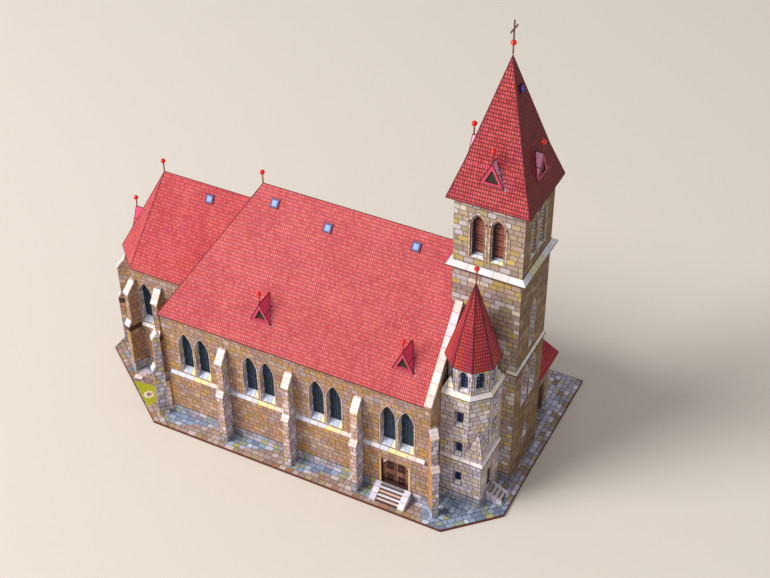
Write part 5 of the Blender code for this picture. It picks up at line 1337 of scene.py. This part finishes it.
def cap_stones(shapes, point, direction, foot, rng):
    """Pale stones over both sloping caps of a buttress."""
    place = section_frame(point, direction)
    half = BUTTRESS_WIDTH / 2 + CAP_PROUD + SKIN
    upper_low, upper_high = UPPER_CAP
    foot_z = upper_high - (upper_high - upper_low) * foot / BUTTRESS_HEAD
    spans = (((BUTTRESS_FOOT, LOWER_CAP[0]), (BUTTRESS_HEAD, LOWER_CAP[1]), 2),
             ((BUTTRESS_HEAD, upper_low), (foot + CAP_THICKNESS, foot_z - CAP_THICKNESS), 3))
    for low, high, count in spans:
        first, last = Vector(low), Vector(high)
        run = (last - first).normalized()
        normal = Vector((run.y, -run.x))
        for step in range(count):
            a = first.lerp(last, step / count) + run * (JOINT / 2 if step else -SKIN)
            b = first.lerp(last, (step + 1) / count) - run * (JOINT / 2 if step < count - 1 else -SKIN)
            outline = [a, a + normal * (CAP_THICKNESS + SKIN), b + normal * (CAP_THICKNESS + SKIN), b]
            shapes.slab(place, [tuple(p) for p in outline], -half, half, rng.choice(CAP_COLOURS))


def dress_bands():
    bands, rng = Shapes(), Random(11)
    for lay in (nave_strings, tower_strings, belt_stones, cornice_stones, coping_stones):
        lay(bands, rng)
    bands.make("band_stones", INK, "dressed_stone")


def dress_buttresses():
    caps, rng = Shapes(), Random(17)
    for y, out in ((0.0, -1), (NAVE_WIDTH, 1)):
        for x in BUTTRESS_X:
            cap_stones(caps, (x, y), (0, out), GAP, rng)
        for x, along in ((NAVE_EAST, -1), (NAVE_WEST, 1)):
            cap_stones(caps, (x, y), (along, out), BUTTRESS_WIDTH / 2 + GAP, rng)
    for x, y in CHOIR_CORNERS:
        cap_stones(caps, (x, y), (x - APSE_X, y - AXIS), 0.0, rng)
    for out in (-1, 1):
        cap_stones(caps, (CHOIR_BUTTRESS_X, AXIS + out * CHOIR_HALF), (0, out), 0.0, rng)
    caps.make("buttress_cap_stones", INK, "dressed_stone")


# Steps and doors

def lay_flight(shapes, point, direction, flight, treads, rng):
    """Treads and risers of a flight of steps, and stones over its two cheeks."""
    reach, top, count, half, cheek = flight
    place = section_frame(point, direction)
    run, rise = reach / count, top / count
    for step, shade in zip(range(count), treads):
        front, back = reach - run * step, max(reach - run * (step + 1), GAP)
        low, high = rise * step, rise * (step + 1)
        shapes.slab(place, rectangle(back, front - JOINT, high, high + SKIN), -half, half, shade)
        shapes.slab(place, rectangle(front - SKIN, front + SKIN, low, high - SKIN), -half, half, RISER)
    foot = reach + CHEEK_PROUD
    marks = [GAP + (foot + SKIN - GAP) * part / CHEEK_STONES for part in range(CHEEK_STONES + 1)]
    for near, far in ((half, half + cheek), (-half - cheek, -half)):
        for a, b in zip(marks, marks[1:]):
            a, b = a + JOINT / 2, b - (0.0 if b == marks[-1] else JOINT / 2)
            heights = [top + CHEEK_RISE + (rise - top - CHEEK_RISE) * (x - GAP) / (foot - GAP) + SKIN
                       for x in (a, b)]
            outline = [(a, 0.0), (b, 0.0), (b, heights[1]), (a, heights[0])]
            shapes.slab(place, outline, near - SKIN, far + SKIN, rng.choice(CHEEK_COLOURS))


def door_boards(shapes, wall, leaf, depth, count, palette, rng):
    """Upright boards over the face of a door."""
    left, right, low, high = leaf
    width = (right - left) / count
    for index in range(count):
        near = left + width * index
        board = rectangle(near + SKIN, near + width - SKIN, low + JOINT, high - JOINT)
        shapes.slab(wall, board, -depth, SKIN - depth, rng.choice(palette))


def scroll(shapes, wall, centre, radius, start, sweep, depth):
    """A curl of ironwork that winds in towards its middle."""
    line = []
    for step in range(SCROLL_STEPS + 1):
        part = step / SCROLL_STEPS
        reach, angle = radius * (1.0 - 0.6 * part), start + sweep * part
        line.append((centre[0] + reach * cos(angle), centre[1] + reach * sin(angle)))
    ribbon(shapes, wall, offset_path(line, IRON_WIDTH / 2), offset_path(line, -IRON_WIDTH / 2),
           -depth, 3 * SKIN - depth, IRON)


def disc(centre, radius, sides=10):
    """A round outline."""
    return [(centre[0] + radius * cos(2 * pi * i / sides), centre[1] + radius * sin(2 * pi * i / sides))
            for i in range(sides)]


def strap(shapes, wall, hinge, tip, z, depth, radius):
    """An iron strap across a door, with a curl round a boss above and below it."""
    low, high = sorted((hinge, tip))
    side = 1 if tip > hinge else -1
    bar = rectangle(low, high, z - IRON_WIDTH / 2, z + IRON_WIDTH / 2)
    shapes.slab(wall, bar, -depth, 3 * SKIN - depth, IRON)
    for centre in ((hinge + tip) / 2, tip - side * 0.4 * radius):
        for up in (1, -1):
            middle = (centre, z + up * radius)
            scroll(shapes, wall, middle, radius, -up * pi / 2, up * side * 1.7 * pi, depth)
            shapes.slab(wall, disc(middle, BOSS_SHARE * radius), -depth, 2 * SKIN - depth, IRON)


def dress_south_door(boards, irons, rng):
    """Two leaves with scrolled ironwork and painted corners, pale on the left leaf and darker on the right
    as painted shade, between two jambs.
    """
    wall = wall_frame((0.0, 0.0), (1.0, 0.0))
    left, right, low, high = DOOR
    middle = (left + right) / 2
    for hinge, meeting, corner in ((left + GAP, middle - GAP, DOOR_CORNERS_LIT_AND_SHADED[0]),
                                   (right - GAP, middle + GAP, DOOR_CORNERS_LIT_AND_SHADED[1])):
        leaf = (min(hinge, meeting), max(hinge, meeting), low + GAP, high - GAP)
        door_boards(boards, wall, leaf, DOOR_RECESS, 4, DOOR_BOARDS, rng)
        side = 1 if meeting > hinge else -1
        top = high - GAP
        painted = [(hinge, top), (hinge, top - DOOR_CORNER),
                   (hinge + side * 0.4 * DOOR_CORNER, top - 0.5 * DOOR_CORNER),
                   (hinge + side * DOOR_CORNER, top)]
        boards.slab(wall, painted, -DOOR_RECESS, 2 * SKIN - DOOR_RECESS, corner)
        foot = rectangle(leaf[0], leaf[1], leaf[2], leaf[2] + DOOR_FOOT)
        boards.slab(wall, foot, -DOOR_RECESS, 2 * SKIN - DOOR_RECESS, DOOR_SHADOW)
        for z in DOOR_STRAPS:
            strap(irons, wall, hinge, meeting - side * SCROLL_RADIUS, z, DOOR_RECESS, SCROLL_RADIUS)
    boards.slab(wall, rectangle(left, left + SKIN, low, high), -DOOR_RECESS, 0.0, DOOR_SHADOW)
    for near, far, shade in ((left - DOOR_JAMB, left - JOINT, DOOR_JAMBS[0]),
                             (right + JOINT, right + DOOR_JAMB, DOOR_JAMBS[1])):
        boards.slab(wall, rectangle(near - JOINT, far + JOINT, low, high), 0.0, SKIN, PEN)
        boards.slab(wall, rectangle(near, far, low, high), 0.0, 2 * SKIN, shade)


def dress_doors():
    rng = Random(19)
    boards, irons, steps = Shapes(), Shapes(), Shapes()
    dress_south_door(boards, irons, rng)
    for x, opening, count in ((TURRET_WEST, TURRET_DOOR, 4), (PORCH_WEST, PORCH_DOOR, 5)):
        wall = wall_frame((x, 0.0), (x, 1.0))
        left, right, low, high = (edge + side * GAP for edge, side in zip(opening, (1, -1, 1, -1)))
        door_boards(boards, wall, (left, right, low, high), LEAF_DEPTH, count, DARK_BOARDS, rng)
        for part in LEAF_BANDS:
            z = low + (high - low) * part
            band = rectangle(left + 0.4, right - 1.0, z - IRON_WIDTH / 2, z + IRON_WIDTH / 2)
            irons.slab(wall, band, -LEAF_DEPTH, 3 * SKIN - LEAF_DEPTH, IRON)
    jamb = rectangle(TURRET_DOOR[1] + JOINT, TURRET_DOOR[1] + TURRET_JAMB, *TURRET_DOOR[2:])
    boards.slab(wall_frame((TURRET_WEST, 0.0), (TURRET_WEST, 1.0)), jamb, 0.0, SKIN, DOOR_ORANGE)
    lay_flight(steps, (STAIR_X, 0.0), (0, -1), STAIR, TREADS, rng)
    foot = (TURRET_WEST, (TURRET_DOOR[0] + TURRET_DOOR[1]) / 2)
    lay_flight(steps, foot, (1, 0), TURRET_STAIR, TURRET_TREADS, rng)
    boards.make("door_planks", INK, "door_boards")
    irons.make("door_irons", INK, "door_boards")
    steps.make("step_stones", INK, "dressed_stone")


# Pen lines along the edges of the card, and lines of painted shadow under the mouldings

def edge_line(shapes, start, end, half, shade):
    """A thin rod along an edge of the card."""
    start, end = Vector(start), Vector(end)
    along = (end - start).normalized()
    across = along.orthogonal().normalized()
    corners = [corner * half for corner in (across, along.cross(across), -across, across.cross(along))]
    shapes.loft([start + corner for corner in corners], [end + corner for corner in corners], shade)


def turret_edges(lines):
    """Lines on the turret's slanting corner, its broach and the corners of its lantern."""
    low, high = TURRET_SQUARE_TOP + GAP, TURRET_SHAFT_TOP
    south = (TURRET_WEST - TURRET_CUT, TURRET_SOUTH)
    west = (TURRET_WEST, TURRET_SOUTH + TURRET_CUT)
    corner = (TURRET_WEST, TURRET_SOUTH)
    apex = ((south[0] + west[0]) / 2, (south[1] + west[1]) / 2, TURRET_BROACH_TOP)
    for point in (south, west):
        edge_line(lines, (*point, low), (*point, high), LINE, PEN)
        edge_line(lines, (*point, low), (*corner, low), LINE, PEN_SOFT)
    for point in (south, west, corner):
        edge_line(lines, (*point, low), apex, LINE, PEN)
    reach = LANTERN_APOTHEM / cos(pi / 8)
    for turn in range(8):
        angle = (turn + 0.5) * pi / 4
        point = (TURRET_X + reach * cos(angle), TURRET_Y + reach * sin(angle))
        edge_line(lines, (*point, LANTERN_LOW), (*point, TURRET_EAVE_Z), LINE, PEN)


def moulding_shadow_lines(lines):
    """Dark lines of painted shadow under the belt, the string course, the ledge and the cornice."""
    gable = NAVE_WEST + COPING_PROUD
    out, z = BELT_DEPTH + SKIN, BELT_EDGE
    belt = [(TOWER_X + x * (TOWER_HALF + out), AXIS + y * (TOWER_HALF + out), z)
            for x, y in ((-1, -1), (1, -1), (1, 1), (-1, 1), (-1, -1))]
    out, z = TOWER_STRING[2] + SKIN, TOWER_STRING[0]
    string = ((TURRET_WEST + CORNICE_EDGE + 3 * GAP, TOWER_SOUTH - out, z),
              (TOWER_WEST + out, TOWER_SOUTH - out, z), (TOWER_WEST + out, TOWER_NORTH + out, z),
              (gable + 3 * GAP, TOWER_NORTH + out, z))
    out, z = TURRET_LEDGE[2] + SKIN, TURRET_LEDGE[0] + MOULDING_LIP
    ledge = ((NAVE_WEST + GAP, TURRET_SOUTH - out, z), (TURRET_WEST + out, TURRET_SOUTH - out, z),
             (TURRET_WEST + out, TOWER_SOUTH - GAP, z))
    out, z, corner = CORNICE_EDGE + SKIN, CORNICE_LOW, TURRET_CUT - CORNICE_EDGE * tan(pi / 8)
    cornice = ((gable + GAP, TURRET_SOUTH - out, z), (TURRET_WEST - corner, TURRET_SOUTH - out, z),
               (TURRET_WEST + out, TURRET_SOUTH + corner, z), (TURRET_WEST + out, TOWER_SOUTH - GAP, z))
    for path in (belt, string, ledge, cornice):
        for start, end in zip(path, path[1:]):
            edge_line(lines, start, end, UNDER_SHADOW, PEN)


def dress_edges():
    lines = Shapes()
    turret_edges(lines)
    # Dark lines of painted shadow under the mouldings.
    moulding_shadow_lines(lines)
    lines.make("edge_lines", INK, "printed_stone")


def dress_hips():
    """Dark lines up the hips and along the ridges of the nave and choir."""
    lines = Shapes()
    nave, choir = (RIDGE_EAST, AXIS, RIDGE_Z), (APSE_X, AXIS, CHOIR_RIDGE_Z)
    meeting = NAVE_EAST + (RIDGE_EAST - NAVE_EAST) * (CHOIR_RIDGE_Z - EAVE_Z) / (RIDGE_Z - EAVE_Z)
    ends = [(nave, (NAVE_WEST - WALL, AXIS, RIDGE_Z)), (choir, (meeting, AXIS, CHOIR_RIDGE_Z))]
    for y in (-EAVE_OVERHANG, NAVE_WIDTH + EAVE_OVERHANG):
        ends.append(((NAVE_EAST - EAVE_OVERHANG, y, EAVE_Z), nave))
    reach = (CHOIR_HALF + EAVE_OVERHANG) / cos(pi / 8)
    for turn in (2, 3, 4, 5):
        angle = (turn + 0.5) * pi / 4
        ends.append(((APSE_X + reach * cos(angle), AXIS + reach * sin(angle), EAVE_Z), choir))
    for start, end in ends:
        edge_line(lines, start, end, HIP_LINE, HIP_SHADE)
    lines.make("roof_hip_lines", INK, "roof_tiles")


# Dormers, pins and skylights

def nave_dormers():
    """Front point, outward direction, height of the foot and slope for each nave dormer."""
    foot_z = EAVE_Z + (DORMER_FOOT_Y + EAVE_OVERHANG) * NAVE_SLOPE
    return [((x, y), out, foot_z, NAVE_SLOPE) for x in NAVE_DORMER_X
            for y, out in ((DORMER_FOOT_Y, (0, -1)), (NAVE_WIDTH - DORMER_FOOT_Y, (0, 1)))]


def tower_dormers():
    slope = (TOWER_BREAK_Z - TOWER_EAVE_Z) / (TOWER_EAVE_HALF - TOWER_BREAK_HALF)
    reach = TOWER_EAVE_HALF - TOWER_DORMER_IN
    foot_z = TOWER_EAVE_Z + TOWER_DORMER_IN * slope
    return [((TOWER_X + reach * x, AXIS + reach * y), (x, y), foot_z, slope)
            for x, y in ((0, -1), (1, 0), (0, 1), (-1, 0))]


def choir_dormers():
    reach = CHOIR_HALF + EAVE_OVERHANG - (CHOIR_DORMER_Z - EAVE_Z) / CHOIR_SLOPE
    return [((APSE_X - reach, AXIS), (-1, 0), CHOIR_DORMER_Z, CHOIR_SLOPE)]


def dormer_front(shapes, place, slope):
    """The triangular frame of a dormer and the dark wall in its recess, in front of the roof's slope."""
    edge = hypot(DORMER_HALF, DORMER_HEIGHT)
    head = DORMER_HEIGHT - DORMER_FRAME * edge / DORMER_HALF
    half = (head - DORMER_FRAME) * DORMER_HALF / DORMER_HEIGHT
    outer = [(-DORMER_HALF, 0.0), (DORMER_HALF, 0.0), (0.0, DORMER_HEIGHT)]
    inner = [(-half, DORMER_FRAME), (half, DORMER_FRAME), (0.0, head)]
    depth = min(DORMER_RECESS, DORMER_FRAME / slope) - 2 * SKIN
    shapes.slab(place, inner, -depth, SKIN - depth, DORMER_DARK)
    for near, far, front, shade in FRAME_LAYERS:
        rings = [[Vector(o).lerp(Vector(i), part) for o, i in zip(outer, inner)] for part in (near, far)]
        ribbon(shapes, place, rings[0] + rings[0][:1], rings[1] + rings[1][:1], 0.0, front, shade)


def dormer_slope(shapes, foot, side, out, slope, shade):
    """One side of a dormer's little roof: two rows of tiles, ruled off in dark lines."""
    rise = Vector((0, 0, DORMER_HEIGHT))
    low, front, back = foot + side * DORMER_HALF, foot + rise, foot + rise - out * DORMER_HEIGHT / slope
    normal = (front - low).cross(back - low).normalized()
    normal *= SKIN if normal.z > 0 else -SKIN
    shapes.loft([low, front, back], [point + normal for point in (low, front, back)], shade)
    for a, b in ((low, front), (low, back), (front, back), ((low + front) / 2, (low + back) / 2)):
        edge_line(shapes, a, b, DORMER_EDGE, DORMER_LINE)


def dormer_shadow_patches(shapes, front, out, base_z, slope, rng):
    """Small greyish patches like tiles on the roof, to the right of a dormer: the dormer's painted shadow.
    """
    place = slope_frame((*front, base_z), out, slope)
    length = hypot(DORMER_HEIGHT / slope, DORMER_HEIGHT)
    w, h = SHADOW_PATCH
    for step in range(SHADOW_PATCH_COUNT):
        part = 0.8 * step / SHADOW_PATCH_COUNT
        x = DORMER_HALF * (1 - part) + rng.uniform(0.5, 1.3)
        y = length * part + rng.uniform(-0.5, 0.5)
        patch = rectangle(x - w, x + w, y - h, y + h)
        shapes.slab(place, patch, 0.0, 2 * SKIN, rng.choice(DORMER_SHADOW_COLOURS))


def dress_dormers():
    rng = Random(23)
    frames = Shapes()
    roofs = [(NAVE_DORMER_SIDE, place) for place in nave_dormers() + choir_dormers()]
    # The tower's dormer sides carry painted light.
    roofs += [(LIT_TOWER_DORMER_SIDE, place) for place in tower_dormers()]
    for shade, (front, out, base_z, slope) in roofs:
        # Patches of painted shadow to the right of the dormer.
        dormer_shadow_patches(frames, front, out, base_z, slope, rng)
        out, foot = level(*out), Vector((*front, base_z))
        side = Vector((-out.y, out.x, 0))
        dormer_front(frames, axes(side, UP, out, foot), slope)
        for hand in (-1, 1):
            dormer_slope(frames, foot, side * hand, out, slope, shade)
    frames.make("dormer_frames", INK, "roof_tiles")


def paint_solid(shapes, verts, shade, flat_sides=()):
    for face in {face for vert in verts for face in vert.link_faces}:
        face.smooth = len(face.verts) not in flat_sides
        for loop in face.loops:
            loop[shapes.ink] = colour(*shade)


def ball(shapes, centre, radius, shade):
    made = bmesh.ops.create_uvsphere(shapes.mesh, u_segments=24, v_segments=14, radius=radius)["verts"]
    bmesh.ops.translate(shapes.mesh, verts=made, vec=centre)
    paint_solid(shapes, made, shade)


def stem(shapes, foot, length, radius, shade):
    made = bmesh.ops.create_cone(shapes.mesh, cap_ends=True, segments=16, radius1=radius, radius2=radius,
                                 depth=length)["verts"]
    bmesh.ops.translate(shapes.mesh, verts=made, vec=Vector(foot) + Vector((0, 0, length / 2)))
    paint_solid(shapes, made, shade, (16,))


def dress_pins():
    heads, stems = Shapes(), Shapes()
    places = [((RIDGE_EAST, AXIS, RIDGE_Z), RIDGE_PIN), ((APSE_X, AXIS, CHOIR_RIDGE_Z), RIDGE_PIN),
              ((TURRET_X, TURRET_Y, TURRET_APEX_Z), TURRET_PIN),
              ((TOWER_X, AXIS, TOWER_APEX_Z), TOWER_PIN)]
    pinned = [place for place in nave_dormers() if place[0][1] < AXIS] + tower_dormers() + choir_dormers()
    for front, out, base_z, _ in pinned:
        point = Vector((*front, base_z + DORMER_HEIGHT)) - level(*out) * PIN_SET_BACK
        places.append((tuple(point), DORMER_PIN))
    for (x, y, z), length in places:
        ball(heads, (x, y, z + length), PIN_RADIUS + SKIN, PIN_SHADE)
        stem(stems, (x, y, z), length, PIN_STEM + SKIN / 2, STEM_SHADE)
    heads.make("pin_heads", PIN_RED, "pin_plastic")
    stems.make("pin_stems", INK, "pin_plastic")


def dress_skylights():
    shapes = Shapes()
    slope = (TOWER_APEX_Z - TOWER_BREAK_Z) / TOWER_BREAK_HALF
    nave = [(x, y, EAVE_Z + (y + EAVE_OVERHANG) * NAVE_SLOPE) for x, y in NAVE_SKYLIGHTS]
    choir_y = AXIS - (CHOIR_RIDGE_Z - CHOIR_SKYLIGHT_Z) / CHOIR_SLOPE
    tower_x = TOWER_X + (TOWER_APEX_Z - TOWER_SKYLIGHT_Z) / slope
    places = [(point, (0, -1), NAVE_SLOPE, SKYLIGHT, SKYLIGHT_LAYERS) for point in nave]
    choir, tower = (CHOIR_SKYLIGHT_X, choir_y, CHOIR_SKYLIGHT_Z), (tower_x, AXIS, TOWER_SKYLIGHT_Z)
    places += [(choir, (0, -1), CHOIR_SLOPE, SKYLIGHT, SKYLIGHT_LAYERS),
               (tower, (1, 0), slope, TOWER_SKYLIGHT, TOWER_SKYLIGHT_LAYERS)]
    for point, out, slope, size, layers in places:
        place = slope_frame(point, out, slope)
        for part, height, shade in layers:
            w, h = size[0] / 2 * part + SKIN, size[1] / 2 * part + SKIN
            shapes.slab(place, rectangle(-w, w, -h, h), 0.0, SKYLIGHT_THICKNESS + height, shade)
    shapes.make("skylight_frames", INK, "window_panes")


# Base: the printed sheet and the lawn

def dress_base():
    wrapped = PLATE_OUTLINE[-1:] + PLATE_OUTLINE + PLATE_OUTLINE[:1]
    ground = Matrix.Identity(4)
    sheet = Shapes()
    sheet.slab(ground, offset_path(wrapped, SHEET_INSET)[1:-1], PLATE_TOP, SHEET_TOP, PEN)
    sheet.make("paving_sheet", PAVING, "printed_paving")

    rng = Random(29)
    lawn = Shapes()
    lawn.slab(ground, LAWN, SHEET_TOP, SHEET_TOP + SKIN, LAWN_GREEN)
    for outline in PALE_SLABS:
        lawn.slab(ground, outline, SHEET_TOP, SHEET_TOP + SKIN, rng.choice(PEBBLES))
    for reach, count, size, palette in PEBBLE_RINGS:
        for turn in range(count):
            angle = 2 * pi * turn / count
            x, y = FLOWER_BED[0] + reach * cos(angle), FLOWER_BED[1] + reach * sin(angle)
            pebble = [(x + size * cos(i * pi / 3), y + size * sin(i * pi / 3)) for i in range(6)]
            lawn.slab(ground, pebble, SHEET_TOP, SHEET_TOP + 2 * SKIN, rng.choice(palette))
    lawn.make("lawn", INK, "printed_paving")


# Light, floor and camera

def add_camera():
    azimuth, elevation, roll = CAMERA_AZIMUTH, CAMERA_ELEVATION, CAMERA_ROLL
    ahead = Vector((-sin(azimuth) * cos(elevation), cos(azimuth) * cos(elevation), -sin(elevation)))
    across = Vector((cos(azimuth), sin(azimuth), 0))
    above = across.cross(ahead)
    right = across * cos(roll) + above * sin(roll)
    up = above * cos(roll) - across * sin(roll)
    data = bpy.data.cameras.new("camera")
    data.lens, data.sensor_width = LENS, SENSOR
    camera = put("camera", data)
    camera.matrix_world = axes(right, up, -ahead, (CAMERA_PLACE + TO_WORLD) * MM)
    bpy.context.scene.camera = camera


def add_floor():
    work = bmesh.new()
    bmesh.ops.create_grid(work, x_segments=1, y_segments=1, size=FLOOR_REACH)
    data = bpy.data.meshes.new("studio_floor")
    work.to_mesh(data)
    work.free()
    data.materials.append(Print("studio_floor", 0.9, 0.1).finish(colour(*FLOOR_SHADE)))
    floor = put("studio_floor", data)


def add_lights():
    world = bpy.data.worlds.new("studio")
    world.use_nodes = True
    sky = world.node_tree.nodes["Background"].inputs
    sky["Color"].default_value = SKY_COLOUR
    sky["Strength"].default_value = SKY_STRENGTH
    bpy.context.scene.world = world
    data = bpy.data.lights.new("key_light", "AREA")
    data.shape = "DISK"
    data.size, data.energy, data.color = KEY_SIZE, KEY_POWER, KEY_COLOUR
    light = put("key_light", data)
    light.location = KEY_PLACE
    light.rotation_mode = "QUATERNION"
    light.rotation_quaternion = (Vector(KEY_TARGET) - Vector(KEY_PLACE)).to_track_quat("-Z", "Y")


dress_nodes()
dress_nave_windows()
dress_belfry()
dress_small_windows()
dress_bands()
dress_buttresses()
dress_doors()
dress_edges()
dress_hips()
dress_dormers()
dress_pins()
dress_skylights()
dress_base()
add_floor()
add_lights()
add_camera()
bpy.context.scene.view_settings.view_transform = "Standard"
